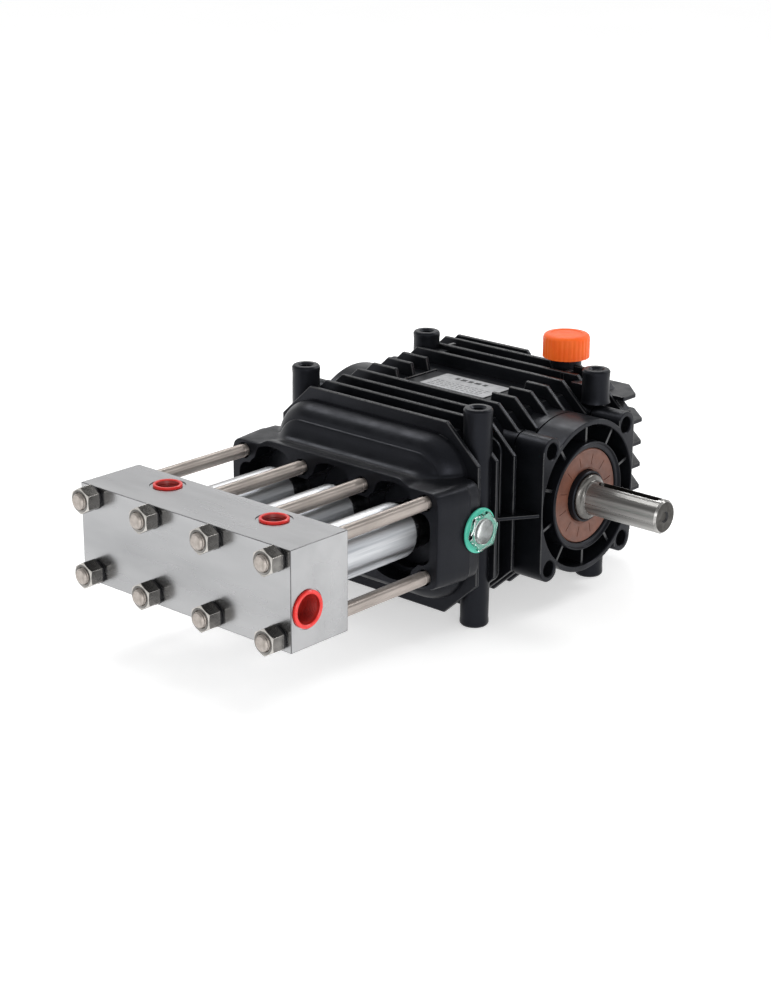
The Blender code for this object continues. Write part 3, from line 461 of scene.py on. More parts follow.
def glint(piece, look):
    """Give the long, narrow strips along a casting's rounded edges a brighter look, a painted highlight."""
    mesh = piece.data
    mesh.materials.append(look)
    index = len(mesh.materials) - 1
    for face in mesh.polygons:
        corners = [mesh.vertices[i].co for i in face.vertices]
        outline = sum((a - b).length for a, b in zip(corners, corners[1:] + corners[:1]))
        width = 2 * face.area / outline
        at = (face.center - ORIGIN) / MM
        on_nose = at.y < FIRST_FIN_Y - FIN_THICKNESS
        oblique = max(abs(c) for c in face.normal) <= 0.985
        narrow = GLINT_WIDTH[0] < width / MM < GLINT_WIDTH[1] and outline / MM > GLINT_OUTLINE
        if oblique and narrow and not on_nose:
            face.material_index = index
    return piece


def copy_of(piece, name, slot, replaces=(), dx=0.0, dz=0.0):
    """The same mesh again, beside or over the first, on the pump's body."""
    twin = bpy.data.objects.new(name, piece.data)
    pieces.objects.link(twin)
    twin.matrix_world = Matrix.Translation(Vector((dx, 0.0, dz)) * MM)
    return attach(twin, "pump_body", replaces)


# ---------------------------------------------------------------- materials

def set_inputs(node, **values):
    """Set a shader node's inputs, an underscore standing for a space."""
    for key, value in values.items():
        node.inputs[key.replace("_", " ")].default_value = value
    return node


def noise(tree, place_from, scale, detail, stretch=(1.0, 1.0, 1.0)):
    mapping = set_inputs(tree.nodes.new("ShaderNodeMapping"), Scale=stretch)
    tree.links.new(place_from, mapping.inputs["Vector"])
    made = set_inputs(tree.nodes.new("ShaderNodeTexNoise"), Scale=scale, Detail=detail, Roughness=0.55)
    tree.links.new(mapping.outputs["Vector"], made.inputs["Vector"])
    return made.outputs["Fac"]


def ramp(tree, value, low, high):
    """The noise's middle range, where nearly all of it lies, spread from low to high."""
    made = set_inputs(tree.nodes.new("ShaderNodeMapRange"), From_Min=0.35, From_Max=0.65, To_Min=low,
                      To_Max=high)
    tree.links.new(value, made.inputs["Value"])
    return made.outputs["Result"]


def bump(tree, height, distance):
    made = set_inputs(tree.nodes.new("ShaderNodeBump"), Distance=distance * MM, Strength=1.0)
    tree.links.new(height, made.inputs["Height"])
    return made


def material(name, dark, light, roughness, metallic, mottle, grain=900.0, depth=0.0,
             stretch=(1.0, 1.0, 1.0), swell=0.0, swell_scale=0.0, turned_about=None, **constants):
    """A surface with mottled colour, uneven roughness and a fine grain, all from noise.

    mottle, grain and swell_scale are features to the metre; depth and swell are heights in mm.
    turned_about is the axis round which a lathe left its marks.
    """
    made = bpy.data.materials.new(name)
    made.use_nodes = True
    tree = made.node_tree
    link = tree.links.new
    shader = set_inputs(tree.nodes["Principled BSDF"], Metallic=metallic, **constants)
    where = tree.nodes.new("ShaderNodeTexCoord").outputs["Object"]
    mix = tree.nodes.new("ShaderNodeMix")
    mix.data_type = "RGBA"
    set_inputs(mix, A=(*dark, 1.0), B=(*light, 1.0))
    link(ramp(tree, noise(tree, where, mottle, 5.0, stretch), 0.0, 1.0), mix.inputs["Factor"])
    link(mix.outputs["Result"], shader.inputs["Base Color"])
    link(ramp(tree, noise(tree, where, mottle * 3.0, 4.0, stretch), *roughness), shader.inputs["Roughness"])
    if turned_about:
        set_inputs(shader, Anisotropic=0.9, Anisotropic_Rotation=0.25)
        tangent = tree.nodes.new("ShaderNodeTangent")
        tangent.direction_type = "RADIAL"
        tangent.axis = turned_about
        link(tangent.outputs["Tangent"], shader.inputs["Tangent"])
    if depth:
        top = bump(tree, noise(tree, where, grain, 3.0, stretch), depth)
        if swell:
            under = bump(tree, noise(tree, where, swell_scale, 2.0), swell)
            link(under.outputs["Normal"], top.inputs["Normal"])
        link(top.outputs["Normal"], shader.inputs["Normal"])
    return made


# name, dark and light colour, least and most roughness, metallic, mottle, grain, depth
CAST = material("cast_black", (0.0030, 0.0033, 0.0042), (0.0065, 0.0070, 0.0085), (0.28, 0.42),
                0.0, 18.0, 1500.0, 0.035, swell=0.06, swell_scale=260.0,
                Specular_IOR_Level=0.19, Specular_Tint=(0.88, 0.92, 1.10, 1.0))
# painted highlight: a lighter, glossier copy of the black casting, for its edge strips and a few top faces
CAST_HIGHLIGHT = material("cast_edge_highlight", (0.010, 0.0105, 0.012), (0.028, 0.029, 0.032), (0.26, 0.36),
                     0.0, 90.0, 1500.0, 0.02, Specular_IOR_Level=0.55)
MILLED = material("milled_stainless", (0.335, 0.338, 0.345), (0.455, 0.457, 0.463), (0.20, 0.30),
                  1.0, 11.0, 700.0, 0.004, stretch=(0.25, 1.0, 1.0))
# painted shade: a darker copy of the milled steel, for the manifold's chamfers and the walls of its bores
MILLED_SHADE = material("milled_edge_shade", (0.10, 0.10, 0.105), (0.20, 0.20, 0.205), (0.3, 0.42),
                1.0, 40.0, 900.0, 0.004)
ROD = material("matt_steel", (0.36, 0.32, 0.292), (0.56, 0.505, 0.467), (0.46, 0.58),
               1.0, 30.0, 1200.0, 0.01, stretch=(1.0, 0.35, 1.0), turned_about="Y")
STUD_FACE = material("stud_face", (0.36, 0.325, 0.295), (0.52, 0.475, 0.44), (0.40, 0.55),
                     1.0, 180.0, 1200.0, 0.02)
NUT = material("nut_steel", (0.40, 0.385, 0.36), (0.56, 0.54, 0.51), (0.20, 0.32), 1.0, 60.0, 1500.0, 0.006)
# painted shade: a darker copy of the nut steel, for the nuts' flats and the shaft's collar and journals
STEEL_SHADE = material("nut_flank_shade", (0.12, 0.116, 0.11), (0.25, 0.241, 0.229), (0.20, 0.34),
                     1.0, 45.0, 1500.0, 0.006)
# the washers' own near-black steel, also given to the shaft's centre hole as painted shade
BLACK_WASHER_AND_HOLE_SHADE = material("washer_steel", (0.012, 0.012, 0.013), (0.03, 0.03, 0.032), (0.40, 0.55),
                  0.6, 60.0, 1500.0, 0.01)
# painted shade: a dark steel for the sleeves' ends inside the crankcase nose
SLEEVE_END_SHADE = material("sleeve_end_shade", (0.06, 0.06, 0.064), (0.20, 0.20, 0.21), (0.30, 0.42),
                     1.0, 120.0, 900.0, 0.01)
# hard chrome whose colour runs from grey to near white in streaks along the axis: painted reflection streaks
CHROME_PAINTED_STREAKS = material("hard_chrome_painted_streaks", (0.42, 0.44, 0.47), (0.95, 0.96, 0.975), (0.36, 0.46),
                  1.0, 95.0, 600.0, 0.003, stretch=(1.0, 0.03, 1.0), turned_about="Y")
GROUND = material("ground_steel", (0.50, 0.495, 0.485), (0.62, 0.615, 0.60), (0.20, 0.28),
                  1.0, 20.0, 900.0, 0.004, stretch=(0.3, 1.0, 1.0))
# ground steel whose colour runs in light and dark bands round the shaft: painted reflection bands
SHAFT_PAINTED_STREAKS = material("shaft_steel_painted_streaks", (0.24, 0.236, 0.228), (0.53, 0.52, 0.505), (0.26, 0.36),
                 1.0, 150.0, 900.0, 0.004, stretch=(0.02, 1.0, 1.0), turned_about="X")
# the shaft end's dark oxide grey, also given to the keyway's walls and floor as painted shade
SHAFT_OXIDE_AND_SHADE = material("shaft_face_oxide_and_shade", (0.055, 0.052, 0.048), (0.10, 0.096, 0.09), (0.42, 0.55),
                      1.0, 90.0, 900.0, 0.01)
FORGED = material("forged_steel", (0.22, 0.22, 0.225), (0.33, 0.33, 0.33), (0.35, 0.5),
                  1.0, 60.0, 800.0, 0.03)
ALUMINIUM = material("cast_aluminium", (0.42, 0.42, 0.43), (0.52, 0.52, 0.53), (0.38, 0.5),
                     1.0, 60.0, 900.0, 0.03)
CERAMIC = material("white_ceramic", (0.74, 0.72, 0.68), (0.82, 0.80, 0.77), (0.12, 0.2),
                   0.0, 40.0, 900.0, 0.002)
BROWN = material("brown_seal", (0.118, 0.041, 0.024), (0.165, 0.060, 0.035), (0.42, 0.56),
                 0.0, 70.0, 1800.0, 0.02)
RED = material("red_plastic", (0.76, 0.026, 0.022), (0.86, 0.040, 0.034), (0.26, 0.36),
               0.0, 60.0, 1100.0, 0.01)
# painted shade: a dark red for the inside of the plugs' bores
RED_SHADE = material("red_inside_shade", (0.20, 0.006, 0.004), (0.42, 0.020, 0.014), (0.3, 0.42),
                      0.0, 60.0, 1100.0, 0.01)
ORANGE = material("orange_plastic", (1.0, 0.128, 0.012), (1.0, 0.155, 0.016), (0.36, 0.48),
                  0.0, 60.0, 1500.0, 0.02, Specular_IOR_Level=0.25)
GREEN = material("green_rubber", (0.055, 0.47, 0.33), (0.085, 0.56, 0.41), (0.35, 0.45),
                 0.0, 80.0, 1500.0, 0.015)
GLASS = material("clear_plastic", (0.93, 0.96, 0.95), (0.97, 0.985, 0.98), (0.02, 0.05),
                 0.0, 60.0, 700.0, 0.003, Transmission_Weight=1.0, IOR=1.49)
SILVER = material("label_silver", (0.35, 0.355, 0.365), (0.46, 0.465, 0.475), (0.36, 0.48),
                  0.7, 160.0, 1800.0, 0.01)
MIRROR = material("reflector", (0.09, 0.095, 0.095), (0.27, 0.28, 0.285), (0.10, 0.2),
                  1.0, 160.0, 1800.0, 0.004)
INK = material("label_ink", (0.012, 0.012, 0.014), (0.03, 0.03, 0.034), (0.45, 0.6),
               0.0, 200.0, 1500.0, 0.004)
SCREW = material("blackened_screw", (0.22, 0.22, 0.222), (0.40, 0.40, 0.404), (0.2, 0.32),
                 1.0, 90.0, 1500.0, 0.01)
ZINC = material("zinc_steel", (0.46, 0.46, 0.45), (0.58, 0.58, 0.56), (0.26, 0.4), 1.0, 80.0, 900.0, 0.02)
PAPER = material("gasket_sheet", (0.05, 0.05, 0.048), (0.085, 0.085, 0.08), (0.7, 0.85),
                 0.0, 120.0, 1500.0, 0.02)
FABRIC = material("packing_weave", (0.05, 0.045, 0.04), (0.11, 0.10, 0.085), (0.6, 0.75),
                  0.0, 500.0, 1500.0, 0.05)


# ---------------------------------------------------------------- crankcase

def rounded_box_distance(x, z, half_width, half_height, radius):
    dx, dz = abs(x) - half_width + radius, abs(z) - half_height + radius
    return math.hypot(max(dx, 0.0), max(dz, 0.0)) + min(max(dx, dz), 0.0) - radius


def smooth_union(a, b, reach):
    overlap = max(reach - abs(a - b), 0.0) / reach
    return min(a, b) - overlap * overlap * reach / 4


def between(keys, y):
    """The row of numbers at y, from rows of (y, numbers...)."""
    if y <= keys[0][0]:
        return keys[0][1:]
    for first, second in zip(keys, keys[1:]):
        if y <= second[0]:
            share = (y - first[0]) / (second[0] - first[0])
            return [a + (b - a) * share for a, b in zip(first[1:], second[1:])]
    return keys[-1][1:]


# y, half width, half height, corner radius
FLANGE_KEYS = [(203.9, 141.0, 50.0, 12.0), (225.0, 144.5, 50.5, 13.0), (245.5, 147.0, 51.0, 14.0),
               (247.5, 145.6, 51.0, 14.0), (261.0, 145.0, 51.0, 14.0)]
SHOULDER_KEYS = [(214.0, 100.0, 42.0, 14.0), (222.0, 102.0, 49.0, 15.0), (228.0, 104.0, 52.4, 17.0),
                 (233.0, 106.0, 56.6, 20.0), (237.0, 107.5, 62.5, 24.0), (239.6, 109.0, 68.0, 28.0),
                 (241.2, 110.0, 71.0, 31.0), (242.4, 110.6, 71.9, 32.0), (243.2, 111.0, 72.1, 32.0),
                 (244.0, 112.3, 74.6, 34.0), (246.0, 114.5, 77.8, 36.0), (250.0, 118.0, 82.0, 39.0),
                 (255.0, 121.5, 85.3, 42.0), (261.0, 124.5, 87.4, 44.5), (270.0, 126.0, 88.0, 45.0)]
BROW_KEYS = [(203.9, 103.0, 56.4, 16.0), (214.0, 103.0, 55.4, 16.0), (224.0, 103.0, 51.5, 16.0),
             (230.0, 103.0, 48.0, 16.0)]


def nose_distance(x, z, y, inset):
    """Below zero inside the nose's cross-section at y."""
    flange = rounded_box_distance(x, z, *between(FLANGE_KEYS, y)) + inset
    brow = rounded_box_distance(x, z, *between(BROW_KEYS, y)) + inset
    flange = smooth_union(flange, brow, 5.0)
    if y < SHOULDER_KEYS[0][0]:
        return flange
    shoulder = rounded_box_distance(x, z, *between(SHOULDER_KEYS, y))
    return smooth_union(flange, shoulder, 5.0)


def nose():
    """The low flange box, the brow over its windows and the rolled shoulder behind, in one skin."""
    reference = []
    for quarter, (side, level) in enumerate(((1, 1), (-1, 1), (-1, -1), (1, -1))):
        reference += arc((side * 124.0, level * 46.0), 20.0, quarter * 90, quarter * 90 + 90, 12)
        steps = 44 if quarter % 2 == 0 else 14
        x, z = reference[-1]
        next_x, next_z = ((-124.0, 66.0), (-144.0, -46.0), (124.0, -66.0), (144.0, 46.0))[quarter]
        reference += [(x + (next_x - x) * i / steps, z + (next_z - z) * i / steps) for i in range(1, steps)]
    rows = [(203.9, 1.6), (204.4, 0.5)]      # y, inset
    rows += [(y, 0.0) for y in (205.5, 209.0, 213.0, 217.0, 220.5, 223.5, 226.5, 229.0, 231.0, 233.0, 235.0,
                                237.0, 238.4, 239.6, 240.6, 241.4, 242.2, 243.2, 244.0, 245.5, 247.5,
                                250.0, 253.0, 257.0, 261.0)]
    rows += [(263.0, 1.0), (264.4, 3.0), (265.2, 6.0), (265.8, 20.0), (270.0, 40.0)]
    sections = []
    for y, inset in rows:
        section = []
        for x, z in reference:
            reach = math.hypot(x, z)
            ux, uz = x / reach, z / reach
            low, high = 10.0, 175.0
            for _ in range(26):
                middle = (low + high) / 2
                if nose_distance(ux * middle, uz * middle, y, inset) < 0:
                    low = middle
                else:
                    high = middle
            section.append((ux * low, y, uz * low))
        sections.append(section)
    return loft("nose", sections)


def window_outline(x):
    """A window over and under a sleeve, its ends arched."""
    top = arc((0, 0), 50.5, 66, 114, 6)
    outline = [(26.0, -30.0), (26.0, 34.0)] + top + [(-26.0, 34.0), (-26.0, -30.0)]
    outline += [(u, -v) for u, v in reversed(outline) if abs(v) > 33.0]
    return rounded([(x + u, v) for u, v in outline], 5.0, 2)


def nose_hollow():
    sides = rounded([(131, -27), (131, 27), (-131, 27), (-131, -27)], 12.0, 4)
    hollow = plate("nose_sides", sides, "y", 190.0, 235.0)
    for x in CYLINDERS.values():
        join(hollow, cylinder("nose_well", (x, 0, 0), "y", 189.0, 236.0, 43.0, 64))
        join(hollow, plate("window", window_outline(x), "y", 188.0, 224.0))
    return hollow


def fin_corners(y):
    """Where a fin's top ends, drive side then blind side, and how far its blind side reaches."""
    back = y - FIRST_FIN_Y
    return 97.0 - 0.04 * back, 89.5 + 0.118 * back, min(FIN_SIDE, 129.0 + 0.12 * back)


def fin_outline(y):
    """A fin's outline: shorter beside the covers, and in two stubs over the label."""
    drive_x, blind_x, blind_side = fin_corners(y)
    drive_side = FIN_SIDE
    if COVER_ZONE[0] < y < COVER_ZONE[1]:
        drive_side = blind_side = BODY_SIDE
    drive_z = FIN_TOP - FIN_SLOPE * (drive_side - drive_x)
    blind_z = FIN_TOP - FIN_SLOPE * (blind_side - blind_x)
    outline = [(drive_side, -drive_z), (drive_side, drive_z), (drive_x, FIN_TOP), (-blind_x, FIN_TOP),
               (-blind_side, blind_z), (-blind_side, -blind_z), (-blind_x, -FIN_TOP), (drive_x, -FIN_TOP)]
    if LABEL_ZONE[0] < y < LABEL_ZONE[1]:
        left = -65.0 - 0.1 * (y - LABEL_ZONE[0])
        outline[3:3] = [(63.0, FIN_TOP), (60.0, BODY_TOP), (left, BODY_TOP), (left - 4.0, FIN_TOP)]
    return rounded(outline, 1.2, 2)


def fin(y):
    return plate("fin", fin_outline(y), "y", y - FIN_THICKNESS / 2, y + FIN_THICKNESS / 2, 1.1)


def cover_outline():
    """A side cover seen along x: a round rim, four screw bosses and two flat sides."""
    reach, boss_radius = COVER_HALF_DEPTH, COVER_BOSS_RADIUS
    turn = math.degrees(math.acos(50.0 / COVER_RADIUS))
    top = arc((0, 0), COVER_RADIUS, turn, 180 - turn, 24)
    points = []
    for side, level in ((1, 1), (-1, -1)):
        boss = (side * COVER_BOSS, level * COVER_BOSS)
        other = (-side * COVER_BOSS, level * COVER_BOSS)
        start = 0 if level > 0 else 180
        points.append((side * reach, level * (COVER_BOSS - 4.0)))
        points += arc(boss, boss_radius, start + 8, start + 150, 12)
        points += [(side * u, level * v) for u, v in top]
        points += arc(other, boss_radius, start + 30, start + 172, 12)
        points.append((-side * reach, level * (COVER_BOSS - 4.0)))
    return [(CRANK_Y + u, v) for u, v in points]


def posts(x):
    """The mounting posts at x: a pillar in front, two short ones at the rear, all with machined ends."""
    up = [(0, FOOT_Z), (12.9, FOOT_Z), (13.5, FOOT_Z - 0.3), (14.7, FOOT_Z - 1.9), (14.9, FOOT_Z - 2.6),
          (14.8, FOOT_Z - 6.0), (14.5, FOOT_Z - 9.0), (14.6, 96.0)]
    down = [(r, -z) for r, z in reversed(up)]
    pillar = up + [(15.0, 60.0), (15.3, 0.0), (15.0, -60.0)] + down
    upper = up + [(14.8, 88.0), (15.0, 82.0), (16.0, REAR_POST_FOOT), (0, REAR_POST_FOOT)]
    lower = [(0, -REAR_POST_FOOT), (16.5, -REAR_POST_FOOT), (15.0, -84.0)] + down
    front, rear = POST_Y
    return [turned("post", profile, (x, y, 0), "z", 56)
            for profile, y in ((pillar, front), (upper, rear), (lower, rear))]


def foot_holes(name, above, depth, radius, end_radius=None):
    """The same hole in every end of the posts, from above the end to a depth below it."""
    bm = bmesh.new()
    for x in (-POST_X, POST_X):
        for y in POST_Y:
            for level in (-1, 1):
                start, end = level * (FOOT_Z + above), level * (FOOT_Z - depth)
                add_cylinder(bm, (x, y, 0), "z", start, end, radius, 32, end_radius)
    return solid(name, bm)


def crankcase():
    outline = rounded(octagon(BODY_TOP, BODY_SIDE - 0.6, BODY_CORNER), 3.0, 3)
    body = plate("crankcase_body", outline, "y", 262.0, REAR_FACE_Y, 0.6)
    join(body, nose())
    for index in range(9):
        join(body, fin(FIRST_FIN_Y + FIN_PITCH * index))
    for side in (-1, 1):
        low, high = sorted((side * 80.0, side * BODY_SIDE))
        join(body, plate("cover_seat", cover_outline(), "x", low, high))
    for x in (-POST_X, POST_X):
        join(body, *posts(x))
    rear = POST_Y[1]
    for side in (-1, 1):
        for level in (-1, 1):
            low_x, high_x = sorted((side * 88.0, side * 117.0))
            low_z, high_z = sorted((level * 60.0, level * 96.0))
            join(body, block("post_root", (low_x, rear - 6.0, low_z), (high_x, rear + 6.0, high_z), 1.5))
    join(body, block("label_pad", (-64.0, 383.6, BODY_TOP - 3), (57.0, 437.5, 87.6), 0.5))
    join(body, block("label_ridge", (-66.0, 382.0, BODY_TOP - 3), (-63.2, 440.5, 89.2), 0.7))
    join(body, cylinder("sight_boss", SIGHT, "x", 138.0, SIGHT_SEAT_X - 0.4, 23.0, 64))
    for x in REAR_WEBS:
        high = (x + 2.5, REAR_FACE_Y - 0.4, FIN_TOP - 1.0)
        join(body, block("rear_web", (x - 2.5, 490.0, BODY_TOP - 3), high, 0.8))
    for side in (-1, 1):
        web = [(side * 118.0, 300.0), (side * 132.0, 303.0), (side * 158.0, 341.4), (side * 118.0, 341.4)]
        join(body, plate("flank_web", web, "z", -4.2, -0.8, 0.6))
    arch = rounded([(131, -74), (131, 74), (100, 88), (-100, 88), (-122, 74), (-122, -74)], 14.0, 5)
    join(body, plate("flank_rib", arch, "y", 310.5, 313.0, 0.5))

    cut(body, nose_hollow())
    cut(body, bores("sleeve_seats", 230.0, 354.0, 24.2))
    cut(body, bores("crosshead_bores", 246.0, 356.0, 32.4))
    cut(body, block("crank_chamber", (-100.0, 352.0, -66.0), (100.0, 513.0, 66.0)))
    mouths = bmesh.new()
    for side in (-1, 1):
        add_cylinder(mouths, CRANK, "x", side * 90.0, side * 130.0, 68.2, 64)
    cut(body, solid("cover_mouths", mouths))
    cut(body, cylinders("stud_holes", STUDS, "y", 195.0, 225.0, 7.4, 32))
    cut(body, cylinders("stud_mouths", STUDS, "y", 194.0, 210.0, 8.6, 32))
    cut(body, foot_holes("foot_bores", 1.0, 26.0, 6.6), foot_holes("foot_chamfers", 1.5, 2.4, 10.3, 6.4))
    cut(body, cylinder("sight_hole", SIGHT, "x", 120.0, 150.0, 13.2, 32))
    cut(body, cylinder("drain_hole", DRAIN, "z", -60.0, -90.0, 8.0, 32))
    casting = glint(show(body, "crankcase_casting", CAST, ["crankcase"]), CAST_HIGHLIGHT)
    # painted highlight: the tops of the label's ridge and of the two rear webs get the casting's highlight
    # look
    repaint(casting, CAST_HIGHLIGHT, lambda n, at: n.z > 0.95 and (
        (abs(at.x + 64.6) < 2.0 and 382.0 < at.y < 440.5 and at.z > 88.0) or
        (at.z > 98.0 and 492.0 < at.y < 524.0 and min(abs(at.x - x) for x in REAR_WEBS) < 3.0)))


# ---------------------------------------------------------------- covers

def rear_cover():
    outline = rounded(octagon(BODY_TOP, BODY_SIDE, BODY_CORNER), 3.0, 3)
    cover = plate("rear_cover_body", outline, "y", REAR_START_Y, REAR_BODY_Y, 1.2)
    join(cover, fin(REAR_FIN_Y))
    for z, share in [(level * 25.0, 1.0) for level in range(-2, 3)] + [(-75.0, 0.93), (75.0, 0.93)]:
        rib = [(-138.0, REAR_FIN_Y), (138.0, REAR_FIN_Y), (138.0, 543.5), (110.0, REAR_END_Y),
               (-110.0, REAR_END_Y), (-138.0, 543.5)]
        rib = rounded([(x * share, y) for x, y in rib], 2.0, 2)
        join(cover, plate("rear_rib", rib, "z", z - 2.5, z + 2.5, 1.0))
    top_rib = [(-116.0, 60.0), (-116.0, 97.0), (-111.0, 102.0), (-12.0, 102.0), (-8.0, 98.0), (-8.0, 60.0)]
    join(cover, plate("top_rib", rounded(top_rib, 1.5, 2), "y", 531.0, 535.5, 0.9))
    boss = [(0, 97.0), (16.2, 97.0), (17.0, 96.0), (17.4, 84.0), (19.5, 70.0), (0, 70.0)]
    join(cover, turned("filler_boss", boss, (CAP.x, CAP.y + 2, 0), "z", 48))
    cut(cover, block("rear_hollow", (-100.0, 500.0, -66.0), (100.0, 531.0, 66.0)))
    cut(cover, cylinder("filler_hole", CAP, "z", 50.0, 120.0, 12.5, 40))
    cut(cover, cylinder("cap_seat", CAP, "z", 97.0, 120.0, 18.0))
    glint(show(cover, "rear_cover_casting", CAST, ["rear_cover"]), CAST_HIGHLIGHT)


def side_cover(side, name):
    """A bearing cover: side is 1 for the drive end, with its ribbed pocket, and -1 for the blind one."""
    face = COVER_FACE_X if side > 0 else BLIND_FACE_X
    low, high = sorted((side * 123.1, side * face))
    cover = plate(name + "_body", cover_outline(), "x", low, high, 1.0)
    join(cover, cylinder("spigot", CRANK, "x", side * 116.0, side * 130.0, 67.4, 96))
    if side > 0:
        outer, hub = POCKET_RADIUS, HUB_RADIUS
        pocket = [(outer + 0.8, face + 1), (outer + 0.8, face - 0.1), (outer, face - 0.9),
                  (outer - 1.5, 134.0), (outer - 3.5, 132.0), (hub + 3.0, 132.0), (hub + 1.0, 134.0),
                  (hub, face - 0.9), (hub - 0.8, face - 0.1), (hub - 0.8, face + 1)]
        cut(cover, turned("pocket", pocket, CRANK, "x", 96, ring=True))
        for index in range(10):
            rib = block("rib", (-1.0, -11.0, -1.6), (28.0, 11.0, 1.6), 0.5)
            there = around(CRANK, "X", 18.0 + 36.0 * index, (128.0, (hub + outer) / 2, 0))
            rib.data.transform(there @ Matrix.Translation(-place(0, 0, 0)))
            join(cover, rib)
    wells = [(0, CRANK_Y + u, v) for u in (-COVER_BOSS, COVER_BOSS) for v in (-COVER_BOSS, COVER_BOSS)]
    cut(cover, cylinders("screw_wells", wells, "x", side * 136.0, side * 175.0, WELL_RADIUS, 40))
    for at in wells:
        cut(cover, cylinder("chamfer", at, "x", side * (face - 1.2), side * (face + 1.0), 8.5, 40, 10.7))
    cut(cover, cylinder("bearing_seat", CRANK, "x", side * 100.0, side * 144.3, 45.6, 64))
    if side > 0:
        cut(cover, cylinder("shaft_way", CRANK, "x", 140.0, 150.0, 36.0, 64))
        step = [(0, 170.0), (hub - 1.6, 170.0), (hub - 1.6, face - 0.4), (hub - 2.6, 158.8),
                (SEAL_RADIUS + 1.6, 158.6), (SEAL_RADIUS + 0.6, 157.6), (SEAL_RADIUS + 0.6, 146.7),
                (0, 146.7)]
        cut(cover, turned("seal_seat", step, CRANK, "x", 96))
    else:
        step = [(0, 175.0), (53.5, 175.0), (52.5, face), (51.0, face - 2.5), (0, face - 2.5)]
        cut(cover, turned("hub_step", step, CRANK, "-x", 96))
    cover = glint(show(cover, name + "_casting", CAST, [name]), CAST_HIGHLIGHT)
    # painted highlight: the fronts of the drive-side pocket's ribs get the casting's highlight look
    repaint(cover, CAST_HIGHLIGHT, lambda n, at: n.x * side > 0.95 and at.x * side > 140.0 and
            HUB_RADIUS + 1.0 < math.hypot(at.y - CRANK_Y, at.z) < POCKET_RADIUS - 1.0)


def cover_screws():
    """Eight socket-head screws, sunk in the side covers' wells."""
    head = [(0, 10.0), (6.8, 10.0), (7.5, 9.3), (7.5, 0), (0, 0)]
    number = 0
    for side, axis in ((1, "x"), (-1, "-x")):
        seat = side * SCREW_SEAT_X
        for y in (CRANK_Y - COVER_BOSS, CRANK_Y + COVER_BOSS):
            for z in (-COVER_BOSS, COVER_BOSS):
                number += 1
                name = "cover_screw_%d" % number
                screw = turned(name, head, (seat, y, z), axis, 32)
                cut(screw, cylinder("socket", (0, y, z), "x", seat + side * 4.5, seat + side * 13.0, 4.3, 6))
                show(screw, name, SCREW)


def oil_seal():
    outer, inner, face = SEAL_RADIUS, 27.5, SEAL_FACE_X
    profile = [(outer, face - 0.8), (outer, 147.0), (inner + 1.0, 147.0), (inner, 150.0),
               (inner, face - 1.4), (inner + 0.5, face - 1.0), (inner + 1.6, face - 0.9),
               (inner + 2.4, face - 0.3), (inner + 4.0, face - 0.3), (inner + 4.6, face),
               (outer - 4.0, face), (outer - 3.4, face - 0.3), (outer - 1.6, face - 0.2), (outer - 0.8, face)]
    seal = turned("seal", profile, CRANK, "x", 96, ring=True)
    slots = bmesh.new()
    for index in range(12):
        add_box(slots, (1.4, 11.0, 0.9), around(CRANK, "X", 15.0 + 30.0 * index, (face, 38.5, 0)))
    cut(seal, solid("seal_slots", slots))
    tip = face + LIP
    lip = [(25.0, face - 3), (25.0, tip), (26.0, tip), (26.9, tip - 1), (27.2, face - 3)]
    lip = turned("seal_lip", lip, CRANK, "x", 64, ring=True)
    show(lip, "oil_seal_lip", CAST)
    show(seal, "oil_seal_ring", BROWN, ["oil_seal"])


# ---------------------------------------------------------------- drive

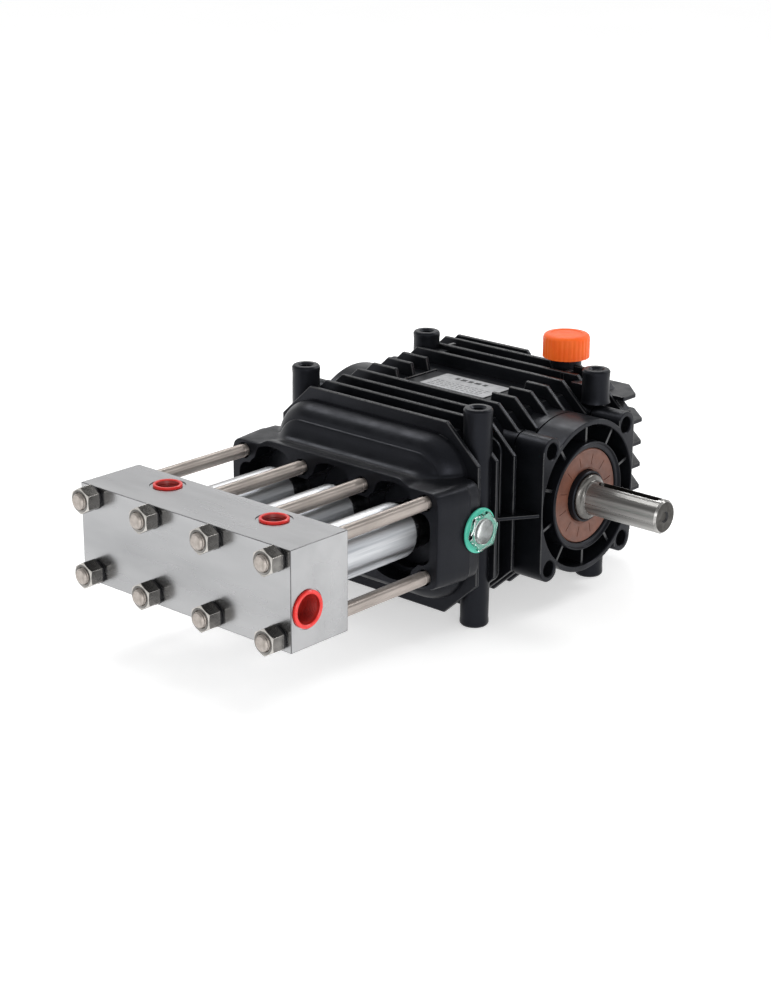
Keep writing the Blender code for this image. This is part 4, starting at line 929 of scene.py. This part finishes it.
def crankshaft():
    end, radius = SHAFT_END_X, SHAFT_RADIUS
    fillet = [(21.0 - 3.5 * math.cos(math.radians(a)), 170.0 - 3.5 * math.sin(math.radians(a)))
              for a in (20, 40, 60, 80)]
    profile = [(0, end), (15.6, end), (radius, end - 1.9), (radius, 170.0)] + fillet
    profile += [(21.0, 166.4), (22.6, 165.6), (23.6, 164.4), (COLLAR_RADIUS, 162.6), (COLLAR_RADIUS, 145.0),
                (JOURNAL_RADIUS, 145.0), (JOURNAL_RADIUS, 118.0), (35.5, 118.0), (WEB_RADIUS, 117.5),
                (WEB_RADIUS, 98.5), (35.5, 98.0), (0, 98.0)]
    shaft = turned("drive_end", profile, CRANK, "x", 80)
    blind = [(0, -98.0), (WEB_RADIUS, -98.0), (WEB_RADIUS, -118.0), (JOURNAL_RADIUS, -118.0),
             (JOURNAL_RADIUS, -144.0), (0, -144.0)]
    join(shaft, turned("blind_end", blind, CRANK, "x", 64))
    reach = PITCH / 2 - 15.0
    for x in (-PITCH / 2, PITCH / 2):
        join(shaft, cylinder("web", CRANK, "x", x - reach, x + reach, WEB_RADIUS, 64))
    for name, x in CYLINDERS.items():
        small_end = centre("wrist_pin_" + name)
        pin = (x, small_end.y + ROD_LENGTH, small_end.z)
        join(shaft, cylinder("pin", pin, "x", x - 17.0, x + 17.0, 18.0))
    low, high = CRANK_Y - 5, CRANK_Y + 5
    key = rounded([(175.0, low), (251.0, low), (251.0, high), (175.0, high)], 4.9, 6)
    cut(shaft, plate("keyway", key, "z", 12.5, 20.0))
    cut(shaft, cylinder("centre_hole", CRANK, "x", end - 24.0, end + 1, 4.3, 32))
    cut(shaft, cylinder("centre_chamfer", CRANK, "x", end - 1.6, end + 1, 4.2, 32, 7.0))
    # the shaft steel's light and dark bands along its length are painted reflection
    piece = show(shaft, "crankshaft_ground", SHAFT_PAINTED_STREAKS, ["crankshaft"], "crank")

    def reach_out(at):
        return math.hypot(at.y - CRANK_Y, at.z)

    # the end face gets its dark oxide; the keyway's walls and floor get the same dark grey as painted shade
    repaint(piece, SHAFT_OXIDE_AND_SHADE, lambda n, at: at.x > 166.0 and (
        n.x > 0.95 or (at.z > 12.0 and (abs(n.y) > 0.9 or (n.z > 0.99 and at.z < 13.0)))))
    # painted shade: the centre hole and its chamfer get the near-black washer steel
    repaint(piece, BLACK_WASHER_AND_HOLE_SHADE, lambda n, at: at.x > 166.0 and abs(n.x) < 0.99 and reach_out(at) < 7.2)
    # painted shade: the collar and journals behind the seal get the darker steel
    repaint(piece, STEEL_SHADE, lambda n, at: at.x > 100.0 and reach_out(at) > radius + 0.2)


# ---------------------------------------------------------------- cylinders and manifold

def sleeves():
    x = CYLINDERS["left"]
    front = SLEEVE_FRONT_Y
    shoulder = arc((SLEEVE_RADIUS - 3.5, 206.0), 3.5, 84, 0, 5)
    profile = [(17.0, SLEEVE_END_Y), (23.6, SLEEVE_END_Y), (23.6, 219.0), (25.4, 218.4), (26.0, 217.6),
               (26.0, 210.6), (25.6, 210.0), (24.9, 209.8)] + shoulder
    profile += [(SLEEVE_RADIUS, front + 1.0), (SLEEVE_RADIUS - 1.0, front), (22.0, front), (22.0, 200.0),
                (17.0, 204.0)]
    sleeve = turned("sleeve", profile, (x, 0, 0), "y", 112, ring=True)
    notches = bmesh.new()
    for angle in range(20, 360, 45):
        for slip in (-1.4, 1.4):
            there = around((x, 0, 0), "Y", -angle, (26.3, 212.0, 0), (0, 0, slip))
            add_box(notches, (2.0, 3.2, 1.1), there)
    cut(sleeve, solid("notches", notches))
    # the chrome's streaky colour along the sleeve is painted reflection
    first = show(sleeve, "sleeve_left_polished", CHROME_PAINTED_STREAKS, ["cylinder_sleeve_left"])
    # painted shade: the sleeve's end behind the flange, inside the nose, gets the dark steel
    repaint(first, SLEEVE_END_SHADE, lambda n, at: at.y > 209.7)
    for name in ("middle", "right"):
        copy_of(first, "sleeve_%s_polished" % name, "sleeve_chrome", ["cylinder_sleeve_" + name],
                dx=CYLINDERS[name] - x)


def manifold():
    body = block("manifold", (-HALF_WIDTH, 0, -HALF_HEIGHT), (HALF_WIDTH, DEPTH, HALF_HEIGHT), 0.7)
    cut(body, cylinders("stud_ways", STUDS, "y", -5, DEPTH + 5, 8.6, 40))
    cut(body, bores("chambers", 44.0, DEPTH + 5, 15.5))
    cut(body, cylinder("inlet_gallery", INLET, "x", -100.0, HALF_WIDTH + 5, 12.7, 32))
    cut(body, cylinder("inlet_port", INLET, "x", HALF_WIDTH - 18.0, HALF_WIDTH + 5, INLET_RADIUS))
    cut(body, cylinder("inlet_spot", INLET, "x", HALF_WIDTH - 0.8, HALF_WIDTH + 6, 19.8, 64))
    cut(body, bores("suction_ways", INLET.y, 45.0, 6.2, 24, -8.0))
    for outlet in OUTLETS.values():
        cut(body, cylinder("outlet_port", outlet, "z", 22.0, HALF_HEIGHT + 5, PORT_RADIUS))
        cut(body, cylinder("spot_face", outlet, "z", HALF_HEIGHT - 0.8, HALF_HEIGHT + 5, 18.0, 64))
    reach, y = OUTLETS["right"].x + 14.0, OUTLETS["right"].y
    cut(body, cylinder("outlet_gallery", (0, y, 23.0), "x", -reach, reach, 6.5, 24))
    risers = [(x, y + 4, 0) for x in CYLINDERS.values()]
    cut(body, cylinders("delivery_ways", risers, "z", 10.0, 23.0, 4.2, 24))
    piece = show(body, "manifold_block", MILLED, ["manifold"])
    # painted shade: every face not square to an axis, the chamfers and bore walls, gets the darker milled
    # steel
    repaint(piece, MILLED_SHADE, lambda n, at: max(abs(n.x), abs(n.y), abs(n.z)) < 0.99)


def stud(at):
    """A stud with a plain shank, a groove near the flange and a thread's four crests at the front."""
    groove, shank, crest = 199.5, STUD_RADIUS, THREAD_RADIUS
    thread_start = NUT_FACE_Y + 4.0
    profile = [(0, STUD_ROOT_Y), (6.2, STUD_ROOT_Y), (6.2, groove + 3.0), (6.9, groove + 2.2),
               (shank, groove + 0.6), (6.6, groove + 0.2), (6.6, groove - 0.6), (shank, groove - 1.0),
               (shank, 78.0), (crest, 77.0), (crest, thread_start)]
    turns = 4
    pitch = (thread_start - STUD_TIP_Y - 2.3) / turns
    for index in range(turns):
        y = thread_start - index * pitch
        profile += [(7.3, y - pitch * 0.5), (7.9, y - pitch)]
    profile += [(7.9, STUD_TIP_Y + 1.5), (6.5, STUD_TIP_Y), (0, STUD_TIP_Y)]
    return turned("stud", profile, at, "y", 48)


def nut(at):
    """A hexagon nut with a flat above and below, its front corners chamfered."""
    face, corner = NUT_FACE_Y, NUT_WIDTH / math.sqrt(3)
    body = plate("nut", rounded(arc((at[0], at[2]), corner, 30, 330, 5), 0.6, 2), "y", face, -3.0)
    chamfer = [(corner + 2, face - 1), (11.2, face - 1), (11.2, face), (corner + 0.6, face + 1.7),
               (corner + 2, face + 1.7)]
    cut(body, turned("nut_chamfer", chamfer, at, "y", 64, ring=True))
    cut(body, cylinder("nut_bore", at, "y", -25, 5, 8.15, 40))
    cut(body, cylinder("nut_mouth", at, "y", face - 1.0, face + 1.2, 9.9, 40, 7.9))
    return body


def studs_and_nuts():
    first = STUDS[0]
    washer = [(12.3, -0.6), (12.3, -2.6), (12.0, -3.0), (8.7, -3.0), (8.7, -0.2), (12.0, -0.2)]
    rod = show(stud(first), "tie_rod_1", ROD, ["tie_stud_1"])
    repaint(rod, STUD_FACE, lambda n, at: at.y < NUT_FACE_Y)
    hexagon = show(nut(first), "hex_nut_1", NUT, ["stud_nut_1"])
    # painted shade: the nut's flat front, back and six flanks get the darker steel, leaving the chamfers
    # bright
    repaint(hexagon, STEEL_SHADE, lambda n, at: abs(n.y) > 0.98 or (
        abs(n.y) < 0.2 and math.cos(6 * math.atan2(n.z, n.x)) > 0.97))
    ring = turned("washer", washer, first, "y", 56, ring=True)
    ring = show(ring, "washer_1", BLACK_WASHER_AND_HOLE_SHADE)
    for number, at in enumerate(STUDS[1:], start=2):
        shift = {"dx": at[0] - first[0], "dz": at[2] - first[2]}
        copy_of(rod, "tie_rod_%d" % number, "stud_steel", ["tie_stud_%d" % number], **shift)
        copy_of(hexagon, "hex_nut_%d" % number, "nut_steel", ["stud_nut_%d" % number], **shift)
        copy_of(ring, "washer_%d" % number, "nut_steel", **shift)


def thread(crest, root, start, end, turns):
    """The rise and fall of an inside thread, as rings."""
    pitch = (end - start) / turns
    rings = []
    for index in range(turns):
        rings += [(crest, start + index * pitch), (root, start + (index + 0.5) * pitch)]
    return rings


def port_plugs():
    top = HALF_HEIGHT + 2.0
    seat = HALF_HEIGHT - 0.5
    profile = [(0, 26.2), (10.4, 26.2)]
    profile += thread(10.6, 11.0, 27.0, top - 2.0, 12)
    profile += [(11.4, top - 1.0), (12.2, top), (13.9, top), (14.5, top - 0.6), (14.5, seat), (11.8, seat),
                (11.8, 24.6), (11.2, 24.0), (0, 24.0)]
    for name, at in OUTLETS.items():
        plug = turned("outlet_plug", profile, (at.x, at.y, 0), "z", 56)
        body = "outlet_plug_" + name
        plug = show(plug, "outlet_cap_" + name, RED, [body], body)
        # painted shade: the bore inside the plug gets the dark red
        repaint(plug, RED_SHADE,
                lambda n, p: p.z < top - 1.5 and math.hypot(p.x - at.x, p.y - at.y) < 11.2)
    face = HALF_WIDTH
    profile = [(0, face - 15.3), (13.6, face - 15.3)]
    profile += thread(13.8, 14.3, face - 14.6, face + 0.4, 8)
    profile += [(14.5, face + 1.6), (15.4, face + 2.5), (17.7, face + 2.5), (18.4, face + 1.8),
                (18.4, face - 0.5), (14.9, face - 0.5), (14.9, face - 16.4), (14.3, face - 17.0),
                (0, face - 17.0)]
    plug = turned("inlet_plug", profile, (0, INLET.y, INLET.z), "x", 64)
    plug = show(plug, "inlet_cap", RED, ["inlet_plug"], "inlet_plug")
    # painted shade: the bore inside the plug gets the dark red
    repaint(plug, RED_SHADE,
            lambda n, p: p.x < face + 1.0 and math.hypot(p.y - INLET.y, p.z - INLET.z) < 14.6)


# ---------------------------------------------------------------- fittings

def oil_cap():
    base, top = CAP_TOP_Z - 25.5, CAP_TOP_Z
    flutes = 30
    outline = []
    for i in range(flutes * 6):
        angle = 2 * math.pi * i / (flutes * 6)
        radius = CAP_RADIUS - 0.42 * max(0.0, math.cos(angle * flutes)) ** 0.6
        outline.append((CAP.x + radius * math.cos(angle), CAP.y + radius * math.sin(angle)))
    cap = plate("cap", outline, "z", base, top)
    bevel = [(30.0, top + 1), (20.4, top + 1), (20.9, top), (23.0, top - 0.5), (24.5, top - 1.8),
             (25.5, top - 4.6), (30.0, top - 4.8)]
    cut(cap, turned("cap_bevel", bevel, (CAP.x, CAP.y, 0), "z", 96, ring=True))
    dish = [(0, top + 1), (17.6, top + 1), (17.0, top - 0.5), (0, top - 0.7)]
    cut(cap, turned("cap_dish", dish, (CAP.x, CAP.y, 0), "z", 64))
    show(cap, "filler_cap_top", ORANGE, ["oil_filler_cap"], "filler_cap")
    neck = [(0, base + 2), (17.0, base + 2), (17.0, base - 10.0), (11.9, base - 10.0), (11.9, 80.0),
            (2.5, 80.0), (2.5, -30.0), (0, -30.0)]
    stem = turned("neck_and_dipstick", neck, (CAP.x, CAP.y, 0), "z", 48)
    show(stem, "filler_cap_neck", CAST, body="filler_cap")


def sight_glass():
    face = SIGHT_SEAT_X
    y, z = SIGHT.y, SIGHT.z
    ring = [(22.9, face + 1.3), (22.2, face + 2.1), (13.2, face + 2.1), (13.2, face), (22.9, face)]
    show(turned("sight_gasket", ring, (0, y, z), "x", 64, ring=True), "sight_gasket_ring", GREEN,
         ["sight_glass_gasket"])
    seat = face + 2.3
    hexagon = rounded(arc((y, z), 20.5, 10, 310, 5), 2.5, 6)
    glass = plate("sight_hexagon", hexagon, "x", seat, seat + 6.0, 1.0)
    lens = [(0, seat + 8.9), (5.0, seat + 8.6), (9.5, seat + 7.6), (12.4, seat + 6.4), (13.2, seat + 5.0),
            (13.0, seat + 1.0), (12.4, seat - 1.0), (0, seat - 1.4)]
    join(glass, turned("lens", lens, (0, y, z), "x", 56))
    show(glass, "sight_glass_lens", GLASS, ["sight_glass"])
    backing = [(0, seat - 5.6), (6.0, seat - 5.0), (11.6, seat - 2.0), (12.2, seat - 2.0),
               (12.2, seat - 6.5), (0, seat - 6.5)]
    show(turned("sight_backing", backing, (0, y, z), "x", 40), "sight_reflector", MIRROR)


def label_plate():
    low, high = LABEL_LOW.z, LABEL_HIGH.z
    x0, x1, y0, y1 = LABEL_LOW.x, LABEL_HIGH.x, LABEL_LOW.y, LABEL_HIGH.y
    outline = rounded([(x0, y0), (x1, y0), (x1, y1), (x0, y1)], 2.0, 3)
    sheet = plate("label", outline, "z", low, high, 0.15)
    show(sheet, "label_face", SILVER, ["label_plate"])
    marks = bmesh.new()

    def bar(x, y, length, width):
        add_box(marks, (length, width, 0.06), Matrix.Translation(place(x, y, high + 0.03)))

    for x, length in ((-22.0, 5.0), (-13.0, 7.0), (-3.5, 6.0), (6.0, 8.0), (16.0, 5.0)):
        bar(x, y1 - 10.0, length, 6.0)
    for row, y in enumerate((y0 + 6.0, y0 + 11.0, y0 + 16.0, y0 + 21.0)):
        x = x0 + 7.0
        for step in range(11):
            length = 3.0 + (row * 7 + step * 5) % 4
            if x + length < x1 - 6.0:
                bar(x + length / 2, y, length, 0.9)
            x += length + 2.2
    show(solid("label_marks", marks), "label_marks", INK)


def drain_plug():
    x, y = DRAIN.x, DRAIN.y
    collar = [(0, -70.0), (7.0, -70.0), (7.0, -86.3), (10.8, -86.3), (10.8, -88.6), (0, -88.6)]
    plug = turned("drain_collar", collar, (x, y, 0), "z", 48)
    head = rounded(arc((x, y), 9.6, 0, 300, 5), 0.5, 2)
    join(plug, plate("drain_head", head, "z", DRAIN_LOW_Z, -88.0, 0.6))
    show(plug, "drain_screw", ZINC, ["drain_plug"])


def finish_cad_nodes():
    """Better surfaces for the CAD nodes that stay."""
    looks = {"gasket": PAPER, "bearing": GROUND, "connecting_rod": ALUMINIUM, "wrist_pin": GROUND,
             "crosshead": FORGED, "plunger_packing": FABRIC, "plunger": CERAMIC, "valve": GROUND}
    for name, obj in frame["nodes"].items():
        if obj.hide_render:
            continue
        for key, look in looks.items():
            if key in name:
                obj.data.materials.clear()
                obj.data.materials.append(look)
                break


# ---------------------------------------------------------------- stage, light and camera

def in_scene(name, data):
    obj = bpy.data.objects.new(name, data)
    bpy.context.scene.collection.objects.link(obj)
    return obj


def stage():
    bm = bmesh.new()
    floor_z = cad_bounds[0].z - 0.0002
    bmesh.ops.create_circle(bm, cap_ends=True, segments=96, radius=14.0,
                            matrix=Matrix.Translation((0, 0, floor_z)))
    mesh = bpy.data.meshes.new("floor")
    bm.to_mesh(mesh)
    bm.free()
    floor = in_scene("floor", mesh)
    mesh.materials.append(material(
        "white_floor", (0.86, 0.86, 0.86), (0.88, 0.88, 0.88), (0.8, 0.9), 0.0, 2.0,
        Specular_IOR_Level=0.0, Emission_Color=(1.0, 1.0, 1.0, 1.0), Emission_Strength=0.50))


def area_light(name, at, width, height, power):
    """A rectangular lamp turned towards the pump's middle."""
    data = bpy.data.lights.new(name, "AREA")
    data.shape = "RECTANGLE"
    data.size = width
    data.size_y = height
    data.energy = power
    light = in_scene(name, data)
    light.location = at
    light.rotation_mode = "QUATERNION"
    light.rotation_quaternion = (Vector((0, 0, 0.1)) - Vector(at)).to_track_quat("-Z", "Y")


def lights():
    world = bpy.data.worlds.new("studio")
    bpy.context.scene.world = world
    world.use_nodes = True
    tree = world.node_tree
    background = tree.nodes["Background"]
    where = tree.nodes.new("ShaderNodeTexCoord")
    split = tree.nodes.new("ShaderNodeSeparateXYZ")
    tree.links.new(where.outputs["Generated"], split.inputs["Vector"])
    shade = tree.nodes.new("ShaderNodeValToRGB")
    elements = shade.color_ramp.elements      # from the horizon up to straight overhead
    elements[0].color, elements[1].color = (1.0, 1.0, 1.0, 1.0), (0.8, 0.8, 0.8, 1.0)
    for position, level in ((0.20, 0.95), (0.38, 0.95), (0.48, 0.34), (0.66, 0.20), (0.86, 0.45)):
        elements.new(position).color = (level, level, level, 1.0)
    tree.links.new(split.outputs["Z"], shade.inputs["Fac"])
    tree.links.new(shade.outputs["Color"], background.inputs["Color"])
    background.inputs["Strength"].default_value = 1.1
    area_light("key", (-1.6, 0.1, 2.2), 1.0, 1.0, 15.0)
    area_light("back_left", (-1.5, 1.9, 2.5), 1.0, 0.6, 16.0)
    area_light("back", (1.0, 2.3, 2.2), 1.2, 0.6, 20.0)
    area_light("fill", (2.2, -1.6, 0.9), 1.6, 1.0, 14.0)


def camera():
    data = bpy.data.cameras.new("camera")
    data.sensor_width = 36.0
    data.lens = 76.34
    data.clip_start, data.clip_end = 0.05, 60.0
    obj = in_scene("camera", data)
    azimuth, elevation, roll = math.radians(41.745), math.radians(19.032), math.radians(0.314)
    forward = Vector((-math.sin(azimuth) * math.cos(elevation), math.cos(azimuth) * math.cos(elevation),
                      -math.sin(elevation)))
    obj.rotation_mode = "QUATERNION"
    look = forward.to_track_quat("-Z", "Y")
    obj.rotation_quaternion = (look.to_matrix() @ Matrix.Rotation(roll, 3, "Z")).to_quaternion()
    obj.location = place(1381.56, -1262.17, 707.75)
    bpy.context.scene.camera = obj


def settle():
    """Remove the drafts and set how the picture is toned."""
    for obj in list(drafts.objects):
        bpy.data.objects.remove(obj, do_unlink=True)
    bpy.data.collections.remove(drafts)
    bpy.context.scene.view_settings.view_transform = "Standard"
    bpy.context.scene.view_settings.look = "None"


crankcase()
rear_cover()
side_cover(1, "drive_side_cover")
side_cover(-1, "blind_side_cover")
cover_screws()
oil_seal()
crankshaft()
sleeves()
manifold()
studs_and_nuts()
port_plugs()
oil_cap()
sight_glass()
label_plate()
drain_plug()
finish_cad_nodes()
stage()
lights()
camera()
settle()

bpy.context.view_layer.update()
